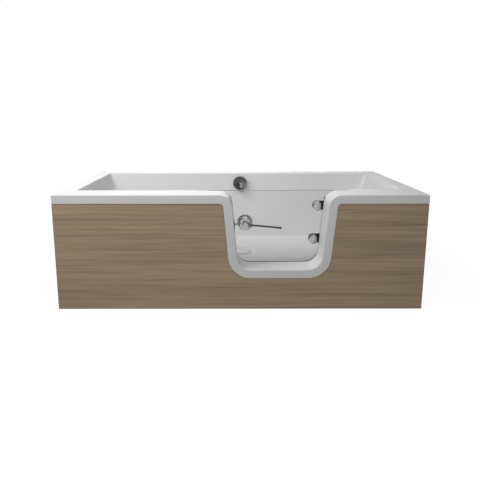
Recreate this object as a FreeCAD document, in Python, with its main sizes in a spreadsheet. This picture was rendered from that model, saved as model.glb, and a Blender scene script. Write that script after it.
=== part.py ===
"""Walk-in bathtub: a moulded shell with a glass door in its front, on a levelled steel frame.

The origin is on the floor under the middle of the bath. +X runs along the bath to the
right, +Y from the wooden front panel to the back, +Z up. Lengths are in millimetres.
"""
import FreeCAD, Part
import Sketcher
import math
import os

doc = FreeCAD.newDocument("walk_in_bath")

# Every size that can be set by itself. Angles are in degrees.
SIZES = {
    # whole bath
    "bath_length": 1700,
    "bath_width": 750,
    "bath_height": 545,
    "overrun": 5,                   # how far a cutting tool runs past the face it cuts
    "fit_gap": 0.05,                # round a shaft or screw in its hole
    "seat_gap": 0.3,                # between curved or soft pieces that meet
    # moulded shell
    "shell_wall": 6,                # sheet with its reinforcement
    "rim_skirt": 40,                # turned-down front edge of the rim
    "rim_corner": 5,
    "rim_edge_round": 4,
    "end_rim": 76,
    "rear_rim": 90,
    "front_rim": 113,               # left of the door
    "hinge_step": 32,               # the front rim is this much wider right of the door
    "hinge_ledge": 20,              # from the recess to that step
    "floor_level": 150,
    "left_end_run": 91,             # how far each wall leans in on its way down
    "right_end_run": 128,
    "rear_run": 20,
    "front_run": 8,
    "basin_rim_corner": 16,         # round corners of the basin in plan, at the rim
    "basin_floor_corner": 34,
    "floor_round": 18,
    # doorway through the front wall
    "doorway_end_distance": 670,    # from the middle of the doorway to the right end of the bath
    "doorway_sill_width": 381,
    "doorway_flare": 31,            # how far each side leans out between sill and rim
    "sill_level": 194,
    "doorway_top_round": 61,
    "doorway_sill_round": 65,
    "band_width": 41,               # raised band that frames the doorway
    "seal_depth": 104,              # front face back to the plane the door shuts against
    "recess_lock_side": 153.5,      # the door recess past the doorway's top, on the lock's side
    "recess_hinge_side": 106.5,
    # front panel
    "panel_thickness": 18,
    "panel_gap": 2,                 # joint between the panel and the shell
    "panel_set_back": 1,
    "panel_floor_gap": 2,
    # base board and steel frame
    "board_thickness": 18,
    "board_margin": 12,
    "board_hole_gap": 3,
    "rail_size": 25,
    "rail_wall": 2,
    "rail_inset": 35,               # from the bath's front and back faces
    "rail_end_gap": 20,
    "cross_rail_end_distance": 400, # from the inner cross rails to the ends of the bath
    "inner_post_end_distance": 450, # from the inner posts to the ends of the bath
    "post_pad": 3,
    "batten_size": 20,
    "batten_end_gap": 60,
    # levelling feet
    "foot_end_distance": 150,       # from the end feet to the ends of the bath
    "foot_radius": 25,
    "foot_flange": 6,
    "foot_boss_radius": 11,
    "foot_boss": 20,
    "foot_socket": 8,
    "rod_radius": 6,
    "rod_top": 148,
    "nut_radius": 11,
    "nut_height": 10,
    # panel brackets
    "bracket_width": 40,
    "bracket_sheet": 2,
    "bracket_height": 24,
    "bracket_end_distance": 250,
    "bracket_inner_place": 260,
    "panel_screw_radius": 2,
    "panel_screw_length": 14,
    "panel_screw_head_radius": 4,
    "panel_screw_head": 2,
    # glass door
    "pane_stand_off": 18,           # from the seal plane to the pane
    "pane_thickness": 8,
    "pane_lock_gap": 43,            # from the pane to the recess's end, on the lock's side
    "pane_hinge_gap": 61,
    "pane_sill_lap": 29,            # how far the pane reaches below the sill
    "pane_top_gap": 2,
    "pane_foot_round": 60,
    "pane_top_round": 6,
    "gasket_width": 16,
    "gasket_setback": 4,            # from the doorway's edge
    "gasket_drop": 33,              # from the rim down to the gasket's ends
    # door hinges
    "hinge_disc_gap": 2.2,          # between the doorway's side and the lower disc
    "hinge_pivot_reach": 15,        # from the pane's edge to the pivot
    "hinge_pivot_depth": 145,
    "hinge_upper_drop": 77,         # from the rim down to the upper hinge
    "hinge_lower_rise": 110,        # from the sill up to the lower hinge
    "hinge_disc_radius": 22,
    "hinge_disc": 15,
    "hinge_disc_round": 2.5,
    "hinge_gasket_thickness": 1,
    "hinge_arm": 8,
    "hinge_barrel_radius": 9,
    "hinge_arm_neck": 24,
    "hinge_pin_radius": 4,
    "hinge_pin_head_radius": 6,
    "hinge_pin_head": 2,
    "hinge_bolt_radius": 4,
    "hinge_bolt_head_radius": 8,
    "hinge_bolt_reach": 11,
    "pane_hole_gap": 2,             # round a bolt where it passes through the glass
    "hinge_plate": 5,
    "hinge_plate_width": 48,
    "hinge_plate_height": 60,
    "hinge_play": 0.3,              # between the knuckles
    "backing_plate_thickness": 3,
    "wall_screw_radius": 3,
    "wall_screw_head_radius": 5.5,
    "wall_screw_head": 2.5,
    "wall_screw_spread": 18,
    # lock and its lever
    "lock_jamb_gap": 15.8,          # between the doorway's side and the lock's flange
    "lock_drop": 155,               # from the rim down to the lock
    "lock_flange_radius": 36,
    "lock_flange": 8,
    "lock_body_radius": 31,
    "lock_body": 38,
    "lock_body_round": 4,
    "lock_groove": 2,
    "lock_stud_radius": 10,
    "lock_cap_radius": 30,
    "lock_cap": 11,
    "lever_hub_radius": 14,
    "lever_hub": 13,
    "lever_spindle_radius": 5,
    "lever_spindle": 30,
    "lever_radius": 3.5,
    "lever_reach": 168,
    "lever_tail": 42,
    "lever_sleeve_radius": 6,
    "lever_sleeve": 22,
    "lever_tip_radius": 4.5,
    "lever_tip": 9,
    "lever_tilt_angle": 5.5,
    "keeper_plate": 2,
    "keeper_height": 50,
    "keeper_width": 30,
    "keeper_nose": 4,
    "keeper_nose_height": 10,
    # waste: overflow knob, pipe and drain
    "waste_place": 10,              # both the knob and the drain lie this far right of the middle
    "overflow_drop": 56,            # from the rim down to the knob
    "knob_radius": 43,
    "knob_stand_off": 12,           # slit behind the knob where the water enters
    "knob_depth": 20,
    "knob_round": 6,
    "knob_wall": 4,
    "knob_grip": 5,
    "rosette_radius": 36,
    "rosette": 5,
    "rosette_neck_radius": 26,
    "rosette_neck": 13,
    "rosette_wall": 3,
    "spoke": 6,
    "knob_ridge": 12,
    "knob_boss_radius": 10,
    "drain_spider": 4,
    "hub_radius": 8,
    "spindle_radius": 4,
    "spindle_reach": 31,
    "drum_radius": 14,
    "drum": 6,
    "overflow_gasket": 3,
    "overflow_cup_radius": 32,
    "overflow_cup": 44,
    "overflow_flange": 4,
    "waste_wall": 3,
    "pipe_radius": 16,
    "pipe_bore": 14,
    "pipe_socket": 22,
    "pipe_bend": 60,
    "drain_depth": 20,              # from the middle of the bath towards the back
    "drain_dish_radius": 61,
    "drain_dish": 6,
    "drain_hole_radius": 42,
    "drain_flange_radius": 56,
    "drain_flange": 2,
    "drain_neck_radius": 40,
    "drain_neck": 22,
    "drain_gasket": 3,
    "cover_radius": 56,
    "cover_rim": 3,
    "cover_crown": 4,
    "cover_crown_round": 180,
    "plug_seal_radius": 42,
    "plug_seal_width": 9,
    "plug_seal": 3,
    "stem_radius": 5,
    "stem_length": 34,
    "trap_radius": 50,
    "trap_foot": 30,
    "trap_round": 8,
    "trap_flange": 4,
    "dip_wall": 2.5,
    "dip_seat": 12,                 # how far the dip tube reaches up into the drain's neck
    "dip_foot": 46,
    "outlet_level": 84,
    "outlet_radius": 25,
    "outlet_collar": 5,             # stop ring that the pipe's socket meets
    "outlet_length": 40,
    "inlet_level": 98,
    "cable_radius": 2.5,
    "cable_place": 24,              # the control cable runs this far beside the pipe
}


class Size:
    """A length that carries its number and the sheet formula that it comes from."""

    def __init__(self, number, formula):
        self.number = float(number)
        self.formula = formula

    def __add__(self, other):
        return Size(self.number + number(other), "(%s + %s)" % (self.formula, formula(other)))

    def __radd__(self, other):
        return Size(other, formula(other)) + self

    def __sub__(self, other):
        return Size(self.number - number(other), "(%s - %s)" % (self.formula, formula(other)))

    def __rsub__(self, other):
        return Size(other, formula(other)) - self

    def __mul__(self, other):
        return Size(self.number * number(other), "(%s * %s)" % (self.formula, formula(other)))

    def __rmul__(self, other):
        return Size(other, formula(other)) * self

    def __truediv__(self, other):
        return Size(self.number / number(other), "(%s / %s)" % (self.formula, formula(other)))

    def __neg__(self):
        return Size(-self.number, "(0 - %s)" % self.formula)

    def root(self):
        return Size(math.sqrt(self.number), "sqrt(%s)" % self.formula)


def number(value):
    """The number of a size, or the number itself."""
    return value.number if isinstance(value, Size) else float(value)


def formula(value):
    """The sheet formula of a size, or the number as text."""
    return value.formula if isinstance(value, Size) else "%.9g" % value


def smaller(first, second):
    """The smaller of two sizes, for a rounding that its wall limits."""
    text = "min(%s; %s)" % (formula(first), formula(second))
    return Size(min(number(first), number(second)), text)


def fill_sheet():
    """Write each size into its own cell and give the cell the size's name."""
    sheet = doc.addObject("Spreadsheet::Sheet", "Sizes")
    for row, (name, value) in enumerate(SIZES.items(), start=1):
        sheet.set("A%d" % row, name)
        sheet.set("B%d" % row, str(value))
        sheet.setAlias("B%d" % row, name)
    doc.recompute()
    return sheet


class Named:
    """The sheet's sizes by name, such as S.bath_length."""

    def __getattr__(self, name):
        return Size(SIZES[name], "Sizes." + name)


sheet = fill_sheet()
S = Named()
PLANES = {"XY": "XY_Plane", "XZ": "XZ_Plane", "YZ": "YZ_Plane"}
ORIGIN = (-1, 1)                    # a sketch's own origin, as a constraint names it
START, END, CENTRE = 1, 2, 3        # the points of a sketched line, arc or circle
STEP_ROUND_SHARES = (0.68, 0.3)     # the step's outer and inner corners, of its depth
FLOOR_ROUND_SHARE = 0.6             # the floor's rounding at most, of that step
ARM_ROUND_SHARE = 0.98              # the hinge arm's round end, of its half height
LUG_ROUND_SHARE = 0.95
HEAD_ROUND_SHARE = 0.6
TIP_SEAT_SHARE = 0.6                # how deep the bar sits in its tip, of the tip's length
STUB_SHARE = 0.75                   # where the cup's outlet starts, of the cup's radius
RIDGE_ROUND_SHARE = 0.98
CROWN_SHARE = 0.55                  # where the drain cover turns flat, of its radius
X_AXIS = FreeCAD.Vector(1, 0, 0)
Y_AXIS = FreeCAD.Vector(0, 1, 0)
Z_AXIS = FreeCAD.Vector(0, 0, 1)
UPRIGHT = FreeCAD.Rotation()
ALONG_Y = FreeCAD.Rotation(X_AXIS, -90)
TOWARDS_FRONT = FreeCAD.Rotation(X_AXIS, 90)
DOWNWARDS = FreeCAD.Rotation(X_AXIS, 180)


def bind(item, name, value):
    """Tie one property of an item to the sheet."""
    item.setExpression(name, formula(value))


def move(item, place, turn=UPRIGHT):
    """Put an item's own origin at a place, turned."""
    item.Placement = FreeCAD.Placement(FreeCAD.Vector(*[number(value) for value in place]), turn)
    for letter, value in zip("xyz", place):
        bind(item, "Placement.Base." + letter, value)


def new_body(label):
    """An empty body for one sub-part."""
    body = doc.addObject("PartDesign::Body", label)
    body.Label = label
    return body


def new_sketch(body, plane, offset=0):
    """A sketch on one of the body's own planes, moved along the plane's normal."""
    sketch = body.newObject("Sketcher::SketchObject", body.Name + "_outline")
    support = [item for item in body.Origin.OriginFeatures if item.Role == PLANES[plane]]
    sketch.AttachmentSupport = [(support[0], "")]
    sketch.MapMode = "FlatFace"
    bind(sketch, "AttachmentOffset.Base.z", offset)
    return sketch


def pin(sketch, name, kind, value, *target):
    """Give a sketch one named dimension that follows the sheet."""
    index = sketch.addConstraint(Sketcher.Constraint(kind, *target, number(value)))
    sketch.renameConstraint(index, name)
    bind(sketch, "Constraints." + name, value)


def draw(sketch, corners):
    """Draw a closed outline through corners (x, y) or, where rounded, (x, y, radius)."""
    points = [FreeCAD.Vector(number(corner[0]), number(corner[1]), 0) for corner in corners]
    count = len(points)
    rounded = any(len(corner) > 2 for corner in corners)
    guides = []
    for index in range(count):
        side = Part.LineSegment(points[index], points[(index + 1) % count])
        guides.append(sketch.addGeometry(side, rounded))
    for index, corner in enumerate(corners):
        guide = guides[index]
        sketch.addConstraint(Sketcher.Constraint("Coincident", guides[index - 1], END, guide, START))
        pin(sketch, "corner_%d_across" % index, "DistanceX", corner[0], *ORIGIN, guide, START)
        pin(sketch, "corner_%d_up" % index, "DistanceY", corner[1], *ORIGIN, guide, START)
    if rounded:
        round_corners(sketch, corners, points, guides)


def round_corners(sketch, corners, points, guides):
    """Add the real outline along the guides, with a tangent arc at each rounded corner."""
    count = len(points)
    arcs = {}
    leave = list(points)
    arrive = list(points)
    for index, corner in enumerate(corners):
        if len(corner) < 3:
            continue
        radius = number(corner[2])
        point = points[index]
        before = (points[index - 1] - point).normalize()
        after = (points[(index + 1) % count] - point).normalize()
        half = before.getAngle(after) / 2
        arrive[index] = point + before * (radius / math.tan(half))
        leave[index] = point + after * (radius / math.tan(half))
        centre = point + (before + after).normalize() * (radius / math.sin(half))
        left_turn = before.cross(after).z < 0
        first = arrive[index] if left_turn else leave[index]
        last = leave[index] if left_turn else arrive[index]
        start = math.atan2(first.y - centre.y, first.x - centre.x)
        end = math.atan2(last.y - centre.y, last.x - centre.x)
        arc = Part.ArcOfCircle(Part.Circle(centre, Z_AXIS, radius), start, end)
        ends = (START, END) if left_turn else (END, START)
        arcs[index] = (sketch.addGeometry(arc, False),) + ends
    for index in range(count):
        following = (index + 1) % count
        side = Part.LineSegment(leave[index], arrive[following])
        line = sketch.addGeometry(side, False)
        if index in arcs:
            arc, _, leaving = arcs[index]
            sketch.addConstraint(Sketcher.Constraint("Tangent", arc, leaving, line, START))
            sketch.addConstraint(Sketcher.Constraint("PointOnObject", line, START, guides[index]))
        else:
            sketch.addConstraint(Sketcher.Constraint("Coincident", line, START, guides[index], START))
        if following in arcs:
            arc, arriving, _ = arcs[following]
            sketch.addConstraint(Sketcher.Constraint("Tangent", line, END, arc, arriving))
            sketch.addConstraint(Sketcher.Constraint("PointOnObject", line, END, guides[index]))
        else:
            sketch.addConstraint(Sketcher.Constraint("Coincident", line, END, guides[index], END))
    for index, (arc, _, _) in arcs.items():
        pin(sketch, "corner_%d_round" % index, "Radius", corners[index][2], arc)


def draw_circle(sketch, across, up, radius):
    """Draw a circle in a sketch."""
    centre = FreeCAD.Vector(number(across), number(up), 0)
    circle = sketch.addGeometry(Part.Circle(centre, Z_AXIS, number(radius)), False)
    tag = "circle_%d" % circle
    pin(sketch, tag + "_across", "DistanceX", across, *ORIGIN, circle, CENTRE)
    pin(sketch, tag + "_up", "DistanceY", up, *ORIGIN, circle, CENTRE)
    pin(sketch, tag + "_round", "Radius", radius, circle)


def extrude(body, kind, sketch, length, reverse=False):
    """Pad or pocket a sketch by a length, against its normal where reversed."""
    feature = body.newObject("PartDesign::" + kind, body.Name + "_" + kind.lower())
    feature.Profile = sketch
    feature.Reversed = reverse
    bind(feature, "Length", length)
    return feature


def loft(body, kind, first, last):
    """Join two outlines with straight-ruled walls."""
    feature = body.newObject("PartDesign::" + kind, body.Name + "_" + kind.lower())
    feature.Profile = first
    feature.Sections = [last]
    feature.Ruled = True
    return feature


def fillet(body, feature, edges, radius):
    """Round the named edges of a feature."""
    rounding = body.newObject("PartDesign::Fillet", body.Name + "_round")
    rounding.Base = (feature, edges)
    bind(rounding, "Radius", radius)
    return rounding


def edge_names(shape, wanted):
    """The names of the edges that a test picks."""
    return ["Edge%d" % (index + 1) for index, edge in enumerate(shape.Edges) if wanted(edge)]


# Planes and lines that several pieces share
front = -S.bath_width / 2
back = S.bath_width / 2
left = -S.bath_length / 2
right = S.bath_length / 2
skirt_foot = S.bath_height - S.rim_skirt
rim_underside = S.bath_height - S.shell_wall
seal_plane = front + S.seal_depth
pane_front = seal_plane + S.pane_stand_off
pane_back = pane_front + S.pane_thickness
pivot_line = front + S.hinge_pivot_depth
board_top = S.floor_level - S.shell_wall
rail_top = board_top - S.board_thickness
rail_foot = rail_top - S.rail_size
front_rail = front + S.rail_inset
back_rail = back - S.rail_inset - S.rail_size
end_rail = right - S.rail_end_gap - S.rail_size
bore = S.fit_gap
doorway_middle = right - S.doorway_end_distance
doorway_top_half = S.doorway_sill_width / 2 + S.doorway_flare
recess_west = doorway_middle - doorway_top_half - S.recess_lock_side
recess_east = doorway_middle + doorway_top_half + S.recess_hinge_side
pane_west = recess_west + S.pane_lock_gap
pane_east = recess_east - S.pane_hinge_gap
pane_foot = S.sill_level - S.pane_sill_lap
pivot_place = pane_east + S.hinge_pivot_reach
upper_hinge = S.bath_height - S.hinge_upper_drop
lower_hinge = S.sill_level + S.hinge_lower_rise
lock_level = S.bath_height - S.lock_drop
overflow_level = S.bath_height - S.overflow_drop
gasket_top = S.bath_height - S.gasket_drop
foot_column = right - S.foot_end_distance
inner_rail = right - S.cross_rail_end_distance
inner_post = right - S.inner_post_end_distance
TOUCH = 0.01


def basin_corners(level_share, growth):
    """Plan outline of the basin, from floor (0) to rim (1), grown outwards on every side."""
    drop_share = 1 - level_share
    west = left + S.end_rim + S.left_end_run * drop_share - growth
    east = right - S.end_rim - S.right_end_run * drop_share + growth
    north = back - S.rear_rim - S.rear_run * drop_share + growth
    south = front + S.front_rim + S.front_run * drop_share - growth
    step_south = south + S.hinge_step
    step = recess_east + S.hinge_ledge + growth
    corner = S.basin_rim_corner * level_share + S.basin_floor_corner * drop_share + growth
    outer_step = S.hinge_step * STEP_ROUND_SHARES[0] + growth
    inner_step = S.hinge_step * STEP_ROUND_SHARES[1] - growth
    return [(west, south, corner), (step, south, outer_step), (step, step_south, inner_step),
            (east, step_south, corner), (east, north, corner), (west, north, corner)]


def basin_loft(body, kind, growth):
    """The basin's form between its floor and the top of the rim."""
    floor_sketch = new_sketch(body, "XY", S.floor_level - growth)
    draw(floor_sketch, basin_corners(0, growth))
    rim_sketch = new_sketch(body, "XY", S.bath_height)
    draw(rim_sketch, basin_corners(1, growth))
    return loft(body, kind, floor_sketch, rim_sketch)


def doorway_lean():
    """How far each side of the doorway moves out for each unit that it rises."""
    return S.doorway_flare / (S.bath_height - S.sill_level)


def doorway_half_width(level, growth):
    """Half the doorway's width at a level, grown square to its leaning sides."""
    lean = doorway_lean()
    stretch = (lean * lean + 1).root()
    return S.doorway_sill_width / 2 + lean * (level - S.sill_level) + stretch * growth


def jamb_place(level, side):
    """Where the doorway's left (-1) or right (1) side stands at a level."""
    return doorway_middle + doorway_half_width(level, 0) * side


def lock_place():
    """Where the lock sits along the bath, beside the doorway's left side."""
    return jamb_place(lock_level, -1) + S.lock_jamb_gap + S.lock_flange_radius


def disc_place(level):
    """Where a hinge disc sits along the bath, beside the doorway's right side."""
    return jamb_place(level, 1) - S.hinge_disc_gap - S.hinge_disc_radius


def doorway_side(top, growth, top_round, sill_round):
    """The doorway's U outline from top left to top right, grown on every side."""
    sill = S.sill_level - growth
    top_half = doorway_half_width(top, growth)
    sill_half = doorway_half_width(sill, growth)
    centre = doorway_middle
    return [(centre - top_half, top, top_round), (centre - sill_half, sill, sill_round),
            (centre + sill_half, sill, sill_round), (centre + top_half, top, top_round)]


def doorway_corners(top, growth, top_round, sill_round, rise):
    """The doorway's outline with its upper corners rounded over and a flat piece on top."""
    outline = doorway_side(top, growth, top_round, sill_round)
    west = outline[0][0] - S.doorway_top_round
    east = outline[3][0] + S.doorway_top_round
    return [(west, top)] + outline + [(east, top), (east, top + rise), (west, top + rise)]


def recess(body, kind, growth):
    """The flat-fronted recess behind the doorway that the door shuts into."""
    sketch = new_sketch(body, "XY", S.floor_level - growth)
    west = recess_west - growth
    east = recess_east + growth
    south = seal_plane - growth
    north = front + S.front_rim + S.front_run + S.floor_round + growth
    draw(sketch, [(west, south), (east, south), (east, north), (west, north)])
    height = S.bath_height - S.floor_level + growth
    if kind == "Pad":
        extrude(body, kind, sketch, height)
    else:
        extrude(body, kind, sketch, height + S.overrun, True)


def shell_walls(body):
    """Everything that the moulded sheet encloses, still without its hollows."""
    wall = S.shell_wall
    slab = new_sketch(body, "XY", skirt_foot)
    draw(slab, [(left, front, S.rim_corner), (right, front, S.rim_corner),
                (right, back, S.rim_corner), (left, back, S.rim_corner)])
    extrude(body, "Pad", slab, S.rim_skirt)
    hollow = new_sketch(body, "XY", skirt_foot)
    draw(hollow, [(left + wall, front + wall), (right - wall, front + wall),
                  (right - wall, back - wall), (left + wall, back - wall)])
    extrude(body, "Pocket", hollow, S.rim_skirt - wall, True)
    basin_loft(body, "AdditiveLoft", wall)
    recess(body, "Pad", wall)
    jambs = new_sketch(body, "XZ", -front)
    draw(jambs, doorway_corners(rim_underside, wall, S.doorway_top_round - wall,
                                S.doorway_sill_round + wall, wall))
    extrude(body, "Pad", jambs, S.seal_depth, True)
    band = new_sketch(body, "XZ", -front)
    draw(band, doorway_corners(skirt_foot, S.band_width, S.doorway_top_round - S.band_width,
                               S.doorway_sill_round + S.band_width, S.overrun))
    extrude(body, "Pad", band, wall, True)
    dish = new_sketch(body, "XY", S.floor_level - S.drain_dish - wall)
    draw_circle(dish, S.waste_place, S.drain_depth, S.drain_dish_radius + wall)
    extrude(body, "Pad", dish, S.drain_dish + wall / 2)


def shell_hollows(body):
    """The basin, the door recess and the doorway, cut out of the solid form."""
    basin = basin_loft(body, "SubtractiveLoft", 0)
    doc.recompute()
    floor_edges = edge_names(basin.Shape, lies_at("Z", S.floor_level))
    fillet(body, basin, floor_edges, smaller(S.floor_round, S.hinge_step * FLOOR_ROUND_SHARE))
    recess(body, "Pocket", 0)
    doorway = new_sketch(body, "XZ", -front + S.overrun)
    draw(doorway, doorway_corners(S.bath_height, 0, S.doorway_top_round,
                                  S.doorway_sill_round, S.overrun))
    extrude(body, "Pocket", doorway, S.seal_depth + S.overrun * 2)


def lies_at(letter, place):
    """A test that picks edges lying flat at one place along an axis."""
    def test(edge):
        box = edge.BoundBox
        low = getattr(box, letter + "Min")
        high = getattr(box, letter + "Max")
        return abs(low - number(place)) < TOUCH and abs(high - number(place)) < TOUCH
    return test


def show_edges(shape):
    """The rim's outer top edge and the doorway's front edge, which are rounded to the touch."""
    at_top = lies_at("Z", S.bath_height)
    at_front = lies_at("Y", front)
    reach = number(right) - number(S.rim_corner)

    def outer(edge):
        box = edge.BoundBox
        on_end = box.XMin < -reach + TOUCH or box.XMax > reach - TOUCH
        on_side = box.YMin < number(front) + TOUCH or box.YMax > number(back) - TOUCH
        return at_top(edge) and (on_end or on_side)

    def opening(edge):
        if not at_front(edge) or at_top(edge):
            return False
        half = doorway_half_width(S.bath_height, 0) + S.doorway_top_round
        middle = edge.valueAt((edge.FirstParameter + edge.LastParameter) / 2)
        level = Size(middle.z, "%.9g" % middle.z)
        limit = number(doorway_half_width(level, S.band_width / 2))
        if middle.z > number(skirt_foot):
            limit = number(half)
        return (abs(middle.x - number(doorway_middle)) < limit
                and middle.z > number(S.sill_level) - TOUCH)

    return edge_names(shape, lambda edge: outer(edge) or opening(edge))


def shell_holes(body):
    """The drain dish and waste hole, the overflow hole and the hinge screw holes."""
    dish = new_sketch(body, "XY", S.floor_level)
    draw_circle(dish, S.waste_place, S.drain_depth, S.drain_dish_radius)
    extrude(body, "Pocket", dish, S.drain_dish)
    waste = new_sketch(body, "XY", S.floor_level)
    draw_circle(waste, S.waste_place, S.drain_depth, S.drain_hole_radius)
    extrude(body, "Pocket", waste, S.drain_dish + S.shell_wall + S.overrun)
    overflow = new_sketch(body, "XZ")
    overflow.AttachmentOffset = FreeCAD.Placement(FreeCAD.Vector(), FreeCAD.Rotation(X_AXIS, -back_lean()))
    for letter, value in zip("xyz", (S.waste_place, overflow_level, -back_wall(overflow_level))):
        bind(overflow, "AttachmentOffset.Base." + letter, value)
    draw_circle(overflow, 0, 0, S.rosette_neck_radius + bore)
    extrude(body, "Pocket", overflow, S.shell_wall + S.overrun)
    screws = new_sketch(body, "XZ", -seal_plane)
    for across, up in wall_screw_places():
        draw_circle(screws, across, up, S.wall_screw_radius + bore)
    extrude(body, "Pocket", screws, S.shell_wall + S.overrun, True)


def back_wall(level):
    """Where the inside of the leaning back wall stands at a level."""
    top = back - S.rear_rim
    drop = (S.bath_height - level) / (S.bath_height - S.floor_level)
    return top - S.rear_run * drop


def back_lean():
    """The back wall's lean from upright, in degrees."""
    return math.degrees(math.atan2(number(S.rear_run), number(S.bath_height - S.floor_level)))


def wall_screw_places():
    """Places across and up of the four screws that hold each hinge's wall bracket."""
    across = pivot_place + S.hinge_plate_width / 2 - S.hinge_barrel_radius
    places = []
    for level in (upper_hinge, lower_hinge):
        places += [(across, level - S.wall_screw_spread), (across, level + S.wall_screw_spread)]
    return places


def bath_shell():
    """Rim, basin, door recess and doorway band, moulded in one sheet of even thickness."""
    body = new_body("bath_shell")
    shell_walls(body)
    shell_hollows(body)
    doc.recompute()
    fillet(body, body.Tip, show_edges(body.Tip.Shape), S.rim_edge_round)
    shell_holes(body)
    return body


def box(label, low, size):
    """A block from its lowest corner."""
    block = doc.addObject("Part::Box", label)
    for name, value in zip(("Length", "Width", "Height"), size):
        bind(block, name, value)
    move(block, low)
    return block


def rod(label, start, radius, length, turn=UPRIGHT):
    """A round bar from the middle of its start face."""
    bar = doc.addObject("Part::Cylinder", label)
    bind(bar, "Radius", radius)
    bind(bar, "Height", length)
    move(bar, start, turn)
    return bar


def cut(label, base, tools):
    """A solid with other solids taken out of it."""
    tool = tools[0]
    if len(tools) > 1:
        tool = doc.addObject("Part::MultiFuse", label + "_tools")
        tool.Shapes = tools
    result = doc.addObject("Part::Cut", label)
    result.Base = base
    result.Tool = tool
    result.Label = label
    return result


def join(label, pieces):
    """Solids that touch, made into one."""
    result = doc.addObject("Part::MultiFuse", label)
    result.Shapes = pieces
    result.Refine = True
    result.Label = label
    return result


def group(label, pieces):
    """Separate solids kept as one sub-part."""
    result = doc.addObject("Part::Compound", label)
    result.Links = pieces
    result.Label = label
    return result


def turned(label, profile, place, turn=UPRIGHT):
    """A round piece turned from a profile (radius, height[, rounding]) about its own axis."""
    body = new_body(label)
    sketch = new_sketch(body, "XZ")
    draw(sketch, profile)
    feature = body.newObject("PartDesign::Revolution", body.Name + "_turn")
    feature.Profile = sketch
    feature.ReferenceAxis = (sketch, ["V_Axis"])
    move(body, place, turn)
    return body


def plate(label, plane, level, corners, thickness, reverse=False, holes=()):
    """A flat piece with round holes (across, up, radius) through it."""
    body = new_body(label)
    sketch = new_sketch(body, plane, level)
    draw(sketch, corners)
    for across, up, radius in holes:
        draw_circle(sketch, across, up, radius)
    extrude(body, "Pad", sketch, thickness, reverse)
    return body


def front_panel():
    """The wooden front: one board with a notch for the doorway band and four pilot holes."""
    top = skirt_foot - S.panel_gap
    growth = S.band_width + S.panel_gap
    notch = doorway_side(top, growth, S.doorway_top_round - growth, S.doorway_sill_round + growth)
    west = left + S.panel_gap
    east = right - S.panel_gap
    foot = S.panel_floor_gap
    corners = [(west, foot), (east, foot), (east, top)] + notch[::-1] + [(west, top)]
    body = plate("front_panel", "XZ", -front - S.panel_set_back, corners, S.panel_thickness, True)
    pilots = new_sketch(body, "XZ", -front - S.panel_set_back - S.panel_thickness)
    for across in bracket_places():
        draw_circle(pilots, across, bracket_screw_level(), S.panel_screw_radius + bore)
    extrude(body, "Pocket", pilots, S.panel_screw_length, True)
    return body


def base_board():
    """The stiffening board bonded under the basin floor, holed for the drain."""
    inset = S.floor_round + S.board_margin
    west = left + S.end_rim + S.left_end_run + inset
    east = right - S.end_rim - S.right_end_run - inset
    south = front + S.front_rim + S.front_run + S.hinge_step + inset
    north = back - S.rear_rim - S.rear_run - inset
    hole = (S.waste_place, S.drain_depth, S.drain_dish_radius + S.shell_wall + S.board_hole_gap)
    corners = [(west, south), (east, south), (east, north), (west, north)]
    return plate("base_board", "XY", rail_top, corners, S.board_thickness, False, [hole])


def hollow_rail(label, low, length, along, drills=()):
    """A square steel tube along X, Y or Z, with its walls drilled where asked."""
    size = [S.rail_size] * 3
    inner_size = [S.rail_size - S.rail_wall * 2] * 3
    inner_low = [value + S.rail_wall for value in low]
    index = "XYZ".index(along)
    size[index] = length
    inner_size[index] = length + S.overrun * 2
    inner_low[index] = low[index] - S.overrun
    outer = box(label + "_outer", low, size)
    inner = box(label + "_inner", inner_low, inner_size)
    return cut(label, outer, [inner] + list(drills))


def frame_rails():
    """Two long rails, drilled for the feet, and four cross rails under the base board."""
    rails = []
    for name, depth in (("front", front_rail), ("back", back_rail)):
        drills = []
        for index, across in enumerate(foot_columns()):
            start = (across, depth + S.rail_size / 2, rail_foot - S.overrun)
            drills.append(rod("%s_rail_drill_%d" % (name, index), start, S.rod_radius + S.seat_gap,
                              S.rail_size + S.overrun * 2))
        if name == "front":
            for index, across in enumerate(bracket_places()):
                start = (across, bracket_bolt_depth(), rail_top - S.overrun)
                drills.append(rod("rail_pilot_%d" % index, start, S.panel_screw_radius + bore,
                                  S.overrun * 2))
        low = (-end_rail - S.rail_size, depth, rail_foot)
        length = (end_rail + S.rail_size) * 2
        rails.append(hollow_rail("rail_" + name, low, length, "X", drills))
    cross_length = back_rail - front_rail - S.rail_size
    places = {"left_end": -end_rail - S.rail_size, "left": -inner_rail - S.rail_size,
              "right": inner_rail, "right_end": end_rail}
    for name, across in places.items():
        low = (across, front_rail + S.rail_size, rail_foot)
        rails.append(hollow_rail("cross_rail_" + name, low, cross_length, "Y"))
    return rails


def post_places():
    """Name, across and depth of each post's lowest corner."""
    west = -end_rail - S.rail_size
    return [("front_left", west, front_rail), ("front_right", end_rail, front_rail),
            ("back_left", west, back_rail), ("back_right", end_rail, back_rail),
            ("back_inner_left", -inner_post - S.rail_size, back_rail),
            ("back_inner_right", inner_post, back_rail)]


def posts():
    """Upright tubes from the long rails to the rim, each with a rubber pad on top."""
    uprights = []
    pads = []
    length = rim_underside - S.post_pad - rail_top
    for name, across, depth in post_places():
        uprights.append(hollow_rail("post_" + name, (across, depth, rail_top), length, "Z"))
        pads.append(box("pad_" + name, (across, depth, rim_underside - S.post_pad),
                        (S.rail_size, S.rail_size, S.post_pad)))
    return uprights + [group("post_pads", pads)]


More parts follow.
